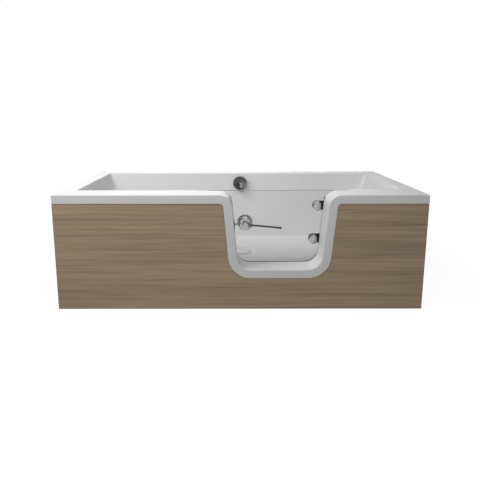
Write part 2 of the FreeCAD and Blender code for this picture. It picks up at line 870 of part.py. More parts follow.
def rim_battens():
    """Timber strips bonded into the front corner of the rim, left and right of the doorway."""
    depth = front + S.shell_wall
    level = rim_underside - S.batten_size
    west = left + S.batten_end_gap
    inner_west = recess_west - S.shell_wall
    inner_east = recess_east + S.shell_wall
    east = right - S.batten_end_gap
    size = S.batten_size
    return [box("rim_batten_left", (west, depth, level), (inner_west - west, size, size)),
            box("rim_batten_right", (inner_east, depth, level), (east - inner_east, size, size))]


def foot_columns():
    """Places along the bath of the three feet under each long rail."""
    return [-foot_column, 0, foot_column]


def feet():
    """Six levelling feet: a threaded rod through each rail, two lock nuts and a plastic foot."""
    rods = []
    nuts = []
    pads = []
    for row, depth in enumerate((front_rail + S.rail_size / 2, back_rail + S.rail_size / 2)):
        for column, across in enumerate(foot_columns()):
            tag = "_%d_%d" % (row, column)
            rods.append(rod("foot_rod" + tag, (across, depth, S.foot_socket), S.rod_radius,
                            S.rod_top - S.foot_socket))
            for side, level in (("below", rail_foot - S.nut_height), ("above", rail_top)):
                nuts.append(hex_nut("foot_nut_%s%s" % (side, tag), (across, depth, level)))
            pads.append(turned("foot_pad" + tag, foot_profile(), (across, depth, 0)))
    return [group("foot_rods", rods), group("foot_nuts", nuts), group("foot_pads", pads)]


def foot_profile():
    """Half section of a foot: a wide flange, a tapering boss and a socket for the rod."""
    socket = S.rod_radius + bore
    return [(0, 0), (S.foot_radius, 0), (S.foot_radius, S.foot_flange),
            (S.foot_boss_radius, S.foot_boss), (socket, S.foot_boss), (socket, S.foot_socket),
            (0, S.foot_socket)]


def hex_nut(label, low):
    """A hexagonal nut on a foot's rod."""
    prism = doc.addObject("Part::Prism", label + "_blank")
    prism.Polygon = 6
    bind(prism, "Circumradius", S.nut_radius)
    bind(prism, "Height", S.nut_height)
    move(prism, low)
    start = (low[0], low[1], low[2] - S.overrun)
    drill = rod(label + "_drill", start, S.rod_radius + bore, S.nut_height + S.overrun * 2)
    return cut(label, prism, [drill])


def bracket_places():
    """Places along the bath of the four angle brackets behind the front panel."""
    outer = right - S.bracket_end_distance
    return [-outer, -S.bracket_inner_place, S.bracket_inner_place, outer]


def bracket_screw_level():
    """Height of the screws that go from the brackets into the panel."""
    return rail_top + S.bracket_height / 2


def bracket_bolt_depth():
    """How far back the screws sit that go from the brackets into the front rail."""
    return front_rail + S.rail_size / 2


def panel_brackets():
    """Four steel angles from the front rail to the panel, with their screws."""
    panel_back = front + S.panel_set_back + S.panel_thickness
    foot_depth = front_rail + S.rail_size - panel_back
    angles = []
    screws = []
    for index, across in enumerate(bracket_places()):
        west = across - S.bracket_width / 2
        leg = box("bracket_leg_%d" % index, (west, panel_back, rail_top),
                  (S.bracket_width, S.bracket_sheet, S.bracket_height))
        sole = box("bracket_sole_%d" % index, (west, panel_back, rail_top),
                   (S.bracket_width, foot_depth, S.bracket_sheet))
        angle = join("bracket_angle_%d" % index, [leg, sole])
        start = (across, panel_back + S.bracket_sheet, bracket_screw_level())
        drill = rod("bracket_drill_%d" % index,
                    (across, panel_back - S.overrun, bracket_screw_level()),
                    S.panel_screw_radius + bore, S.overrun * 2, ALONG_Y)
        down = (across, bracket_bolt_depth(), rail_top + S.bracket_sheet)
        down_drill = rod("bracket_down_drill_%d" % index,
                         (across, bracket_bolt_depth(), rail_top - S.overrun),
                         S.panel_screw_radius + bore, S.overrun * 2)
        angles.append(cut("bracket_%d" % index, angle, [drill, down_drill]))
        screws.append(screw("panel_screw_%d" % index, start, S.panel_screw_length, TOWARDS_FRONT))
        screws.append(screw("rail_screw_%d" % index, down,
                            S.bracket_sheet + S.rail_wall * 2, DOWNWARDS))
    return [group("panel_brackets", angles), group("bracket_screws", screws)]


def screw(label, seat, length, turn):
    """A flat-headed screw whose head bears on its seat and whose shank runs along the turn."""
    shank = S.panel_screw_radius
    head = S.panel_screw_head_radius
    profile = [(0, -S.panel_screw_head), (head, -S.panel_screw_head), (head, 0),
               (shank, 0), (shank, length), (0, length)]
    return turned(label, profile, seat, turn)


def glass_door():
    """The pane, wider than the doorway on every side, with holes for the hinges and the lock."""
    top = S.bath_height - S.pane_top_gap
    corners = [(pane_west, pane_foot, S.pane_foot_round), (pane_east, pane_foot, S.pane_foot_round),
               (pane_east, top, S.pane_top_round), (pane_west, top, S.pane_top_round)]
    hinge_hole = S.hinge_bolt_radius + S.pane_hole_gap
    holes = [(disc_place(upper_hinge), upper_hinge, hinge_hole),
             (disc_place(lower_hinge), lower_hinge, hinge_hole),
             (lock_place(), lock_level, S.lock_stud_radius + S.pane_hole_gap)]
    return plate("glass_door", "XZ", -pane_front, corners, S.pane_thickness, True, holes)


def door_gasket():
    """The U of rubber round the doorway that the pane closes against."""
    setback = S.gasket_setback
    growth = setback + S.gasket_width
    inner = doorway_side(gasket_top, setback, 0, S.doorway_sill_round + setback)
    outer = doorway_side(gasket_top, growth, 0, S.doorway_sill_round + growth)
    for outline in (inner, outer):
        outline[0] = outline[0][:2]
        outline[3] = outline[3][:2]
    return plate("door_gasket", "XZ", -seal_plane, outer + inner[::-1],
                 S.pane_stand_off - S.seat_gap, True)


def hinge_disc(label, level):
    """The round clamp of a hinge on the outside of the glass, bored for its bolt."""
    hole = S.hinge_bolt_radius + bore
    depth = S.hinge_disc
    profile = [(hole, 0), (S.hinge_disc_radius, 0),
               (S.hinge_disc_radius, depth, S.hinge_disc_round), (0, depth),
               (0, S.hinge_bolt_reach), (hole, S.hinge_bolt_reach)]
    seat = pane_front - S.hinge_gasket_thickness
    return turned(label, profile, (disc_place(level), seat, level), TOWARDS_FRONT)


def hinge_arm(label, level):
    """The arm inside the glass: a round end behind the disc, a plate and a barrel for the pin."""
    near = pane_back + S.hinge_gasket_thickness
    disc = S.hinge_disc_radius
    place = disc_place(level)
    shoulder = pane_east
    neck = S.hinge_arm_neck / 2
    body = plate(label, "XZ", -near,
                 [(place - disc, level - disc, disc * ARM_ROUND_SHARE), (shoulder, level - disc),
                  (shoulder, level - neck), (pivot_place, level - neck),
                  (pivot_place, level + neck), (shoulder, level + neck),
                  (shoulder, level + disc),
                  (place - disc, level + disc, disc * ARM_ROUND_SHARE)],
                 S.hinge_arm, True)
    barrel = new_sketch(body, "XY", level - neck)
    draw_circle(barrel, pivot_place, pivot_line, S.hinge_barrel_radius)
    extrude(body, "Pad", barrel, neck * 2)
    pin_bore = new_sketch(body, "XY", level + neck + S.overrun)
    draw_circle(pin_bore, pivot_place, pivot_line, S.hinge_pin_radius + bore)
    extrude(body, "Pocket", pin_bore, neck * 2 + S.overrun * 2)
    bolt_bore = new_sketch(body, "XZ", -near + S.overrun)
    draw_circle(bolt_bore, place, level, S.hinge_bolt_radius + bore)
    extrude(body, "Pocket", bolt_bore, S.hinge_arm + S.overrun * 2)
    head = new_sketch(body, "XZ", -near - S.hinge_arm)
    draw_circle(head, place, level, S.hinge_bolt_head_radius + bore)
    extrude(body, "Pocket", head, S.hinge_arm / 2, True)
    return body


def hinge_bracket(label, level):
    """The wall side of a hinge: a screwed plate with two lugs that carry the pin."""
    lug = S.hinge_barrel_radius
    west = pivot_place - lug
    half = S.hinge_plate_height / 2
    inner = S.hinge_arm_neck / 2 + S.hinge_play
    outer = S.hinge_disc_radius
    holes = [(across, up, S.wall_screw_radius + bore) for across, up in wall_screw_places()
             if abs(number(up) - number(level)) < number(half)]
    body = plate(label, "XZ", -seal_plane,
                 [(west, level - half), (west + S.hinge_plate_width, level - half),
                  (west + S.hinge_plate_width, level + half), (west, level + half)],
                 S.hinge_plate, True, holes)
    for low in (level - outer, level + inner):
        arm = new_sketch(body, "XY", low)
        draw(arm, [(west, seal_plane + S.hinge_plate / 2), (west + lug * 2, seal_plane + S.hinge_plate / 2),
                   (west + lug * 2, pivot_line + lug, lug * LUG_ROUND_SHARE),
                   (west, pivot_line + lug, lug * LUG_ROUND_SHARE)])
        extrude(body, "Pad", arm, outer - inner)
    pin_bore = new_sketch(body, "XY", level + outer + S.overrun)
    draw_circle(pin_bore, pivot_place, pivot_line, S.hinge_pin_radius + bore)
    extrude(body, "Pocket", pin_bore, outer * 2 + S.overrun * 2)
    return body


def hinges():
    """The clamps, arms, brackets and small parts of the upper and the lower hinge."""
    nodes = []
    bolts = []
    gaskets = []
    pins = []
    plates = []
    for name, level in (("upper", upper_hinge), ("lower", lower_hinge)):
        nodes.append(hinge_disc("hinge_%s_disc" % name, level))
        nodes.append(hinge_arm("hinge_%s_arm" % name, level))
        nodes.append(hinge_bracket("hinge_%s_bracket" % name, level))
        bolts.append(hinge_bolt("hinge_bolt_" + name, level))
        pins.append(hinge_pin("hinge_pin_" + name, level))
        plates.append(backing_plate("backing_plate_" + name, level))
        for side, depth in (("outer", pane_front - S.hinge_gasket_thickness), ("inner", pane_back)):
            label = "hinge_gasket_%s_%s" % (name, side)
            gaskets.append(washer(label, (disc_place(level), depth, level), S.hinge_disc_radius,
                                  S.hinge_bolt_radius + S.pane_hole_gap, S.hinge_gasket_thickness))
    nodes += [group("hinge_bolts", bolts), group("hinge_gaskets", gaskets),
              group("hinge_pins", pins), group("hinge_backing_plates", plates)]
    nodes.append(wall_screws())
    return nodes


def washer(label, start, radius, hole, thickness, turn=ALONG_Y):
    """A flat ring."""
    profile = [(hole, 0), (radius, 0), (radius, thickness), (hole, thickness)]
    return turned(label, profile, start, turn)


def hinge_bolt(label, level):
    """The bolt from inside the arm through the glass into the outer disc."""
    seat = pane_back + S.hinge_gasket_thickness + S.hinge_arm
    shank = S.hinge_bolt_radius
    head = S.hinge_bolt_head_radius
    depth = S.hinge_arm / 2
    reach = S.hinge_arm + S.hinge_gasket_thickness * 2 + S.pane_thickness + S.hinge_bolt_reach - S.seat_gap
    profile = [(0, 0), (head, 0), (head, depth), (shank, depth), (shank, reach), (0, reach)]
    return turned(label, profile, (disc_place(level), seat, level), TOWARDS_FRONT)


def hinge_pin(label, level):
    """The pin through a bracket's lugs and the arm's barrel, headed at both ends."""
    pin = S.hinge_pin_radius
    head = S.hinge_pin_head_radius
    half = S.hinge_disc_radius
    cap = half + S.hinge_pin_head
    profile = [(0, -cap), (head, -cap), (head, -half), (pin, -half), (pin, half), (head, half),
               (head, cap), (0, cap)]
    return turned(label, profile, (pivot_place, pivot_line, level))


def backing_plate(label, level):
    """A steel strip behind the moulded wall that the bracket's screws bite into."""
    across = wall_screw_places()[0][0]
    half = S.hinge_plate_height / 2
    wide = S.hinge_barrel_radius
    depth = seal_plane - S.shell_wall - S.backing_plate_thickness
    holes = [(across, level - S.wall_screw_spread, S.wall_screw_radius + bore),
             (across, level + S.wall_screw_spread, S.wall_screw_radius + bore)]
    return plate(label, "XZ", -depth, [(across - wide, level - half), (across + wide, level - half),
                                       (across + wide, level + half), (across - wide, level + half)],
                 S.backing_plate_thickness, True, holes)


def wall_screws():
    """The four machine screws that hold the two hinge brackets to the recess wall."""
    screws = []
    seat = seal_plane + S.hinge_plate
    shank = S.wall_screw_radius
    head = S.wall_screw_head_radius
    reach = S.hinge_plate + S.shell_wall + S.backing_plate_thickness
    profile = [(0, -S.wall_screw_head), (head, -S.wall_screw_head, S.wall_screw_head * HEAD_ROUND_SHARE),
               (head, 0), (shank, 0), (shank, reach), (0, reach)]
    for index, (across, up) in enumerate(wall_screw_places()):
        screws.append(turned("wall_screw_%d" % index, profile, (across, seat, up), TOWARDS_FRONT))
    return group("hinge_wall_screws", screws)


def lock():
    """The round lock on the outside of the glass and its cap and gaskets."""
    level = lock_level
    seat = pane_front - S.hinge_gasket_thickness
    hole = S.lever_spindle_radius + bore
    stud = S.lock_stud_radius
    face = S.lock_flange + S.lock_body
    groove = S.lock_body_radius - S.lock_groove
    behind = S.hinge_gasket_thickness * 2 + S.pane_thickness + S.lock_cap - S.hinge_gasket_thickness
    profile = [(0, -behind), (stud, -behind), (stud, 0), (S.lock_flange_radius, 0),
               (S.lock_flange_radius, S.lock_flange, S.lock_body_round / 2),
               (groove, S.lock_flange), (groove, S.lock_flange + S.lock_groove),
               (S.lock_body_radius, S.lock_flange + S.lock_groove),
               (S.lock_body_radius, face, S.lock_body_round), (hole, face),
               (hole, face - S.lever_spindle - S.seat_gap), (0, face - S.lever_spindle - S.seat_gap)]
    body = turned("lock_body", profile, (lock_place(), seat, level), TOWARDS_FRONT)
    cap_hole = stud + bore
    cap_seat = pane_back + S.hinge_gasket_thickness
    hole_end = S.lock_cap - S.hinge_gasket_thickness + S.seat_gap
    cap_profile = [(cap_hole, 0), (S.lock_cap_radius, 0),
                   (S.lock_cap_radius, S.lock_cap, S.lock_body_round), (0, S.lock_cap),
                   (0, hole_end), (cap_hole, hole_end)]
    cap = turned("lock_inner_cap", cap_profile, (lock_place(), cap_seat, level), ALONG_Y)
    rings = [washer("lock_gasket_outer", (lock_place(), seat, level), S.lock_flange_radius,
                    stud + S.pane_hole_gap, S.hinge_gasket_thickness),
             washer("lock_gasket_inner", (lock_place(), pane_back, level), S.lock_cap_radius,
                    stud + S.pane_hole_gap, S.hinge_gasket_thickness)]
    return [body, cap, group("lock_gaskets", rings)]


def lever():
    """The turning lever: a hub on its spindle, a straight bar through it, a sleeve and a tip."""
    face = pane_front - S.hinge_gasket_thickness - S.lock_flange - S.lock_body
    hub = S.lever_hub_radius
    start = S.seat_gap
    end = S.seat_gap + S.lever_hub
    profile = [(0, -S.lever_spindle), (S.lever_spindle_radius, -S.lever_spindle),
               (S.lever_spindle_radius, start), (hub, start), (hub, end, S.lever_hub * HEAD_ROUND_SHARE / 2),
               (0, end)]
    place = (lock_place(), face, lock_level)
    blank = turned("lever_hub_blank", profile, place, TOWARDS_FRONT)
    middle = (lock_place(), face - start - S.lever_hub / 2, lock_level)
    turn = FreeCAD.Rotation(Y_AXIS, 90 + SIZES["lever_tilt_angle"])
    slope = math.radians(SIZES["lever_tilt_angle"])

    def along(distance):
        return (middle[0] + distance * math.cos(slope), middle[1], middle[2] - distance * math.sin(slope))

    drill = rod("lever_drill", along(-hub - S.overrun), S.lever_radius + bore, (hub + S.overrun) * 2, turn)
    hub_node = cut("lever_hub", blank, [drill])
    bar = rod("lever_bar", along(-S.lever_tail), S.lever_radius, S.lever_tail + S.lever_reach, turn)
    hole = S.lever_radius + bore
    inner = S.lever_sleeve_radius
    sleeve_profile = [(hole, 0), (inner, 0), (inner, S.lever_sleeve, S.lever_radius / 2),
                      (hole, S.lever_sleeve)]
    sleeve = turned("lever_sleeve", sleeve_profile, along(hub + S.seat_gap), turn)
    tip_profile = [(hole, 0), (S.lever_tip_radius, 0),
                   (S.lever_tip_radius, S.lever_tip, S.lever_tip_radius * HEAD_ROUND_SHARE), (0, S.lever_tip),
                   (0, S.lever_tip * TIP_SEAT_SHARE), (hole, S.lever_tip * TIP_SEAT_SHARE)]
    tip = turned("lever_tip", tip_profile, along(S.lever_reach - S.lever_tip * TIP_SEAT_SHARE), turn)
    return [hub_node, bar, sleeve, tip]


def keeper():
    """The plate on the left jamb that the lever's short end rests in front of."""
    across = doorway_middle - doorway_half_width(lock_level, 0)
    lean = FreeCAD.Rotation(Y_AXIS, -math.degrees(math.atan(number(doorway_lean()))))
    lock_face = pane_front - S.hinge_gasket_thickness - S.lock_flange - S.lock_body
    bar_depth = lock_face - S.seat_gap - S.lever_hub / 2
    body = new_body("lock_keeper")
    sheet_outline = new_sketch(body, "YZ")
    half = S.keeper_height / 2
    wide = S.keeper_width / 2
    draw(sheet_outline, [(-wide, -half, S.keeper_plate), (wide, -half, S.keeper_plate),
                         (wide, half, S.keeper_plate), (-wide, half, S.keeper_plate)])
    extrude(body, "Pad", sheet_outline, S.keeper_plate)
    nose = new_sketch(body, "YZ", S.keeper_plate / 2)
    nose_half = S.keeper_nose_height / 2
    nose_wide = S.lever_sleeve_radius
    draw(nose, [(-nose_wide, -nose_half), (nose_wide, -nose_half),
                (nose_wide, nose_half), (-nose_wide, nose_half)])
    extrude(body, "Pad", nose, S.keeper_nose + S.keeper_plate / 2)
    move(body, (across, bar_depth, lock_level), lean)
    return body


def wall_point(up, out):
    """A point beside the overflow: up along the leaning back wall and out of it into the bath."""
    lean = math.radians(back_lean())
    depth = back_wall(overflow_level)
    return (S.waste_place, depth + up * math.sin(lean) - out * math.cos(lean),
            overflow_level + up * math.cos(lean) + out * math.sin(lean))


def wall_turn():
    """The turn that points a round piece's axis out of the leaning back wall."""
    return FreeCAD.Rotation(X_AXIS, 90 - back_lean())


def add_spider(body, level, reach, thickness, hub, hole):
    """Cross spokes and a bored hub inside a ring, starting at a level on the body's axis."""
    half = S.spoke / 2
    for across, up in ((reach, half), (half, reach)):
        bar = new_sketch(body, "XY", level)
        draw(bar, [(-across, -up), (across, -up), (across, up), (-across, up)])
        extrude(body, "Pad", bar, thickness)
    boss = new_sketch(body, "XY", level)
    draw_circle(boss, 0, 0, hub)
    extrude(body, "Pad", boss, thickness)
    shaft = new_sketch(body, "XY", level + thickness + S.overrun)
    draw_circle(shaft, 0, 0, hole)
    extrude(body, "Pocket", shaft, thickness + S.overrun * 2)


def overflow_fitting():
    """Gasket and cup behind the back wall, and the spoked rosette screwed into the cup."""
    seat = -S.shell_wall - S.fit_gap * 2 - S.overflow_gasket
    ring = washer("overflow_gasket", wall_point(0, seat), S.rosette_radius,
                  S.rosette_neck_radius + S.seat_gap, S.overflow_gasket, wall_turn())
    neck = S.rosette_neck_radius
    cup_radius = S.overflow_cup_radius
    inner = cup_radius - S.waste_wall
    profile = [(neck + bore, 0), (S.rosette_radius, 0), (S.rosette_radius, -S.overflow_flange),
               (cup_radius, -S.overflow_flange), (cup_radius, -S.overflow_cup, S.waste_wall),
               (0, -S.overflow_cup), (0, S.waste_wall - S.overflow_cup),
               (inner, S.waste_wall - S.overflow_cup), (inner, -S.overflow_flange),
               (neck + bore, -S.overflow_flange)]
    cup = turned("overflow_cup", profile, wall_point(0, seat), wall_turn())
    centre = -pipe_behind_cup_face()
    stub = new_sketch(cup, "XZ", cup_radius * STUB_SHARE)
    draw_circle(stub, 0, centre, S.pipe_radius + S.waste_wall)
    extrude(cup, "Pad", stub, cup_radius * (1 - STUB_SHARE) + S.pipe_socket)
    channel = new_sketch(cup, "XZ")
    draw_circle(channel, 0, centre, S.pipe_bore)
    extrude(cup, "Pocket", channel, cup_radius + S.pipe_socket + S.overrun, True)
    socket = new_sketch(cup, "XZ", cup_radius + S.waste_wall)
    draw_circle(socket, 0, centre, S.pipe_radius + bore)
    extrude(cup, "Pocket", socket, S.pipe_socket + S.overrun, True)
    ring_hole = neck - S.rosette_wall
    rosette_profile = [(ring_hole, -S.rosette_neck), (neck, -S.rosette_neck), (neck, 0),
                       (S.rosette_radius, 0), (S.rosette_radius, S.rosette, S.rosette / 2),
                       (ring_hole, S.rosette)]
    rosette = turned("overflow_rosette", rosette_profile, wall_point(0, 0), wall_turn())
    add_spider(rosette, 0, ring_hole + S.rosette_wall / 2, S.rosette, S.hub_radius, S.spindle_radius + bore)
    return [ring, cup, rosette]


def pipe_behind_cup_face():
    """How far behind the overflow cup's face the overflow pipe's axis runs."""
    return S.overflow_flange + S.pipe_radius + S.waste_wall + S.fit_gap


def overflow_knob():
    """The round control knob, its spindle through the rosette and the drum that winds the cable."""
    low = S.knob_stand_off
    top = low + S.knob_depth
    wall = S.knob_wall
    inner = S.knob_radius - wall
    hole = S.spindle_radius + bore
    profile = [(0, top), (0, top - wall - S.fit_gap), (hole, top - wall - S.fit_gap),
               (hole, low), (S.knob_boss_radius, low), (S.knob_boss_radius, top - wall),
               (inner, top - wall), (inner, low), (S.knob_radius, low, wall / 3),
               (S.knob_radius, top, S.knob_round)]
    knob = turned("overflow_knob", profile, wall_point(0, 0), wall_turn())
    ridge = new_sketch(knob, "XY", top - wall / 2)
    half = S.knob_ridge / 2
    reach = S.knob_radius - S.knob_round - wall
    draw(ridge, [(-reach, -half, half * RIDGE_ROUND_SHARE), (reach, -half, half * RIDGE_ROUND_SHARE),
                 (reach, half, half * RIDGE_ROUND_SHARE), (-reach, half, half * RIDGE_ROUND_SHARE)])
    extrude(knob, "Pad", ridge, wall / 2 + S.knob_grip)
    length = S.spindle_reach + top - wall - S.fit_gap * 2
    spindle = rod("overflow_spindle", wall_point(0, -S.spindle_reach), S.spindle_radius, length, wall_turn())
    drum_profile = [(hole, 0), (S.drum_radius, 0), (S.drum_radius - S.drum / 4, S.drum / 4),
                    (S.drum_radius - S.drum / 4, S.drum * 3 / 4), (S.drum_radius, S.drum), (hole, S.drum)]
    drum = turned("cable_drum", drum_profile, wall_point(0, -S.spindle_reach), wall_turn())
    return [knob, spindle, drum]


def bent_pipe(label, across, start_depth, end_up, out, radius, hole=None):
    """A pipe or cable from the trap, level to the back, then up along the leaning back wall."""
    body = new_body(label)
    lean = math.radians(back_lean())
    top = wall_point(end_up, out)
    rise = top[2] - S.inlet_level
    corner = top[1] - rise * math.tan(lean)
    turn_angle = math.pi / 2 - lean
    reach = S.pipe_bend * math.tan(turn_angle / 2)
    spine = new_sketch(body, "YZ", across)
    level = S.inlet_level
    points = [(start_depth, level), (corner - reach, level),
              (corner + reach * math.sin(lean), level + reach * math.cos(lean)), (top[1], top[2])]
    vectors = [FreeCAD.Vector(number(first), number(second), 0) for first, second in points]
    centre = FreeCAD.Vector(number(points[1][0]), number(level + S.pipe_bend), 0)
    first_line = spine.addGeometry(Part.LineSegment(vectors[0], vectors[1]), False)
    circle = Part.Circle(centre, Z_AXIS, number(S.pipe_bend))
    arc = spine.addGeometry(Part.ArcOfCircle(circle, -math.pi / 2, -lean), False)
    second_line = spine.addGeometry(Part.LineSegment(vectors[2], vectors[3]), False)
    spine.addConstraint(Sketcher.Constraint("Horizontal", first_line))
    spine.addConstraint(Sketcher.Constraint("Tangent", first_line, END, arc, START))
    spine.addConstraint(Sketcher.Constraint("Tangent", arc, END, second_line, START))
    pin(spine, "start_across", "DistanceX", start_depth, *ORIGIN, first_line, START)
    pin(spine, "start_up", "DistanceY", level, *ORIGIN, first_line, START)
    pin(spine, "bend", "Radius", S.pipe_bend, arc)
    pin(spine, "end_across", "DistanceX", top[1], *ORIGIN, second_line, END)
    pin(spine, "end_up", "DistanceY", top[2], *ORIGIN, second_line, END)
    section = new_sketch(body, "XZ", -start_depth)
    draw_circle(section, across, level, radius)
    if hole is not None:
        draw_circle(section, across, level, hole)
    pipe = body.newObject("PartDesign::AdditivePipe", label + "_sweep")
    pipe.Profile = section
    pipe.Spine = (spine, ["Edge1", "Edge2", "Edge3"])
    return body


def pipes():
    """The overflow pipe from the cup to the trap and the control cable beside it."""
    out = -S.shell_wall - S.fit_gap * 2 - S.overflow_gasket - pipe_behind_cup_face()
    cup_radius = S.overflow_cup_radius
    pipe = bent_pipe("overflow_pipe", S.waste_place, S.drain_depth + S.trap_radius + S.waste_wall,
                     -cup_radius - S.waste_wall - S.seat_gap, out, S.pipe_radius, S.pipe_bore)
    place = S.cable_place
    cup_side = (cup_radius * cup_radius - place * place).root()
    trap_side = (S.trap_radius * S.trap_radius - place * place).root()
    cable = bent_pipe("control_cable", S.waste_place + place, S.drain_depth + trap_side + S.cable_radius,
                      -cup_side - S.cable_radius, out, S.cable_radius)
    return [pipe, cable]


def drain():
    """The drain's spoked flange in the floor and the gasket under the floor."""
    floor = S.floor_level - S.drain_dish
    neck = S.drain_neck_radius
    hole = drain_bore()
    profile = [(hole, -S.drain_neck), (neck, -S.drain_neck), (neck, 0), (S.drain_flange_radius, 0),
               (S.drain_flange_radius, S.drain_flange), (hole, S.drain_flange)]
    place = (S.waste_place, S.drain_depth, floor)
    flange = turned("drain_flange", profile, place)
    add_spider(flange, -S.drain_spider * 2, hole + S.spoke / 4, S.drain_spider, S.hub_radius,
               S.stem_radius + bore)
    under = (S.waste_place, S.drain_depth, floor - S.shell_wall - S.drain_gasket)
    gasket = washer("drain_gasket", under, S.drain_flange_radius, neck + S.pane_hole_gap,
                    S.drain_gasket, UPRIGHT)
    return [flange, gasket]


def drain_bore():
    """Inner radius of the drain's neck."""
    return S.drain_neck_radius - S.waste_wall - S.fit_gap * 2


def plug():
    """The lifting drain cover with its stem and the rubber ring under it."""
    seat = S.floor_level - S.drain_dish + S.drain_flange + S.seat_gap
    place = (S.waste_place, S.drain_depth, seat)
    low = S.plug_seal
    rim = low + S.cover_rim
    top = rim + S.cover_crown
    profile = [(0, low), (S.cover_radius, low), (S.cover_radius, rim),
               (S.cover_radius * CROWN_SHARE, top, S.cover_crown_round), (0, top)]
    cover = turned("drain_cover", profile, place)
    ring = washer("plug_seal", place, S.plug_seal_radius, S.plug_seal_radius - S.plug_seal_width,
                  S.plug_seal, UPRIGHT)
    stem_foot = (S.waste_place, S.drain_depth, seat + low - S.stem_length)
    stem = rod("plug_stem", stem_foot, S.stem_radius, S.stem_length)
    return [cover, ring, stem]


def trap():
    """The trap's bowl with its side outlet and overflow inlet, and the dip tube inside it."""
    top = S.floor_level - S.drain_dish - S.shell_wall - S.drain_gasket
    radius = S.trap_radius
    inner = radius - S.waste_wall
    neck = S.drain_neck_radius + bore
    roof = top - S.trap_flange
    floor = S.trap_foot + S.waste_wall
    profile = [(0, S.trap_foot), (radius, S.trap_foot, S.trap_round), (radius, roof),
               (S.drain_flange_radius, roof), (S.drain_flange_radius, top), (neck, top), (neck, roof),
               (inner, roof), (inner, floor, S.trap_round - S.waste_wall), (0, floor)]
    bowl = turned("waste_trap", profile, (S.waste_place, S.drain_depth, 0))
    outlet = new_sketch(bowl, "YZ", inner - S.waste_wall)
    draw_circle(outlet, 0, S.outlet_level, S.outlet_radius + S.waste_wall)
    extrude(bowl, "Pad", outlet, S.waste_wall * 2 + S.outlet_collar)
    spigot = new_sketch(bowl, "YZ", radius + S.outlet_collar)
    draw_circle(spigot, 0, S.outlet_level, S.outlet_radius)
    extrude(bowl, "Pad", spigot, S.outlet_length)
    inlet = new_sketch(bowl, "XZ", -dip_radius() - S.seat_gap)
    draw_circle(inlet, 0, S.inlet_level, S.pipe_radius + S.waste_wall)
    extrude(bowl, "Pad", inlet, radius + S.pipe_socket - dip_radius() - S.seat_gap, True)
    outlet_bore = new_sketch(bowl, "YZ", radius + S.outlet_collar + S.outlet_length + S.overrun)
    draw_circle(outlet_bore, 0, S.outlet_level, S.outlet_radius - S.waste_wall)
    extrude(bowl, "Pocket", outlet_bore, S.outlet_collar + S.outlet_length + S.overrun * 3)
    inlet_bore = new_sketch(bowl, "XZ", -radius - S.pipe_socket - S.overrun)
    draw_circle(inlet_bore, 0, S.inlet_level, S.pipe_bore)
    extrude(bowl, "Pocket", inlet_bore, radius + S.pipe_socket - dip_radius() + S.overrun, True)
    socket = new_sketch(bowl, "XZ", -radius - S.pipe_socket - S.overrun)
    draw_circle(socket, 0, S.inlet_level, S.pipe_radius + bore)
    extrude(bowl, "Pocket", socket, S.pipe_socket - S.waste_wall + S.seat_gap + S.overrun, True)
    return [bowl, dip_tube()]


def dip_radius():
    """Outer radius of the dip tube, which slides up into the drain's neck."""
    return drain_bore() - bore


def dip_tube():
    """The tube that carries water from the drain down to the bottom of the trap."""
    top = S.floor_level - S.drain_dish - S.drain_neck + S.dip_seat
    radius = dip_radius()
    hole = radius - S.dip_wall
    profile = [(hole, S.dip_foot), (radius, S.dip_foot), (radius, top), (hole, top)]
    body = turned("dip_tube", profile, (S.waste_place, S.drain_depth, 0))
    side = new_sketch(body, "XZ", -radius - S.overrun)
    draw_circle(side, 0, S.inlet_level, S.pipe_bore)
    extrude(body, "Pocket", side, radius + S.overrun, True)
    return body


NODES = [bath_shell(), front_panel(), base_board()] + frame_rails() + posts() + rim_battens() + feet()
NODES += panel_brackets() + [glass_door(), door_gasket()] + hinges() + lock() + lever() + [keeper()]
NODES += overflow_fitting() + overflow_knob() + pipes() + drain() + plug() + trap()


def check_and_write():
    """Stop on any failed object or unsound shape, then write one file for each sub-part."""
    doc.recompute()
    for item in doc.Objects:
        if "Invalid" in item.State or "Error" in item.State:
            raise RuntimeError("%s is in state %s" % (item.Name, item.State))
    for node in NODES:
        shape = node.Shape
        if shape.isNull() or not shape.isValid() or not shape.Solids:
            raise RuntimeError("%s has no sound shape" % node.Label)
    os.makedirs("parts", exist_ok=True)
    for node in NODES:
        node.Shape.exportStep("parts/%s.step" % node.Label)


check_and_write()
print(len(NODES), "nodes,", sum(len(node.Shape.Solids) for node in NODES), "solids")
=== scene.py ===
"""Finishes, camera and light for a walk-in bathtub: a moulded white shell with a wooden front
panel and a glass door, on a steel frame. Lengths are in metres, in the row frame, and angles
are in degrees where nothing else is said.
"""
import logging
import math
from collections.abc import Callable
from dataclasses import dataclass
from enum import Enum

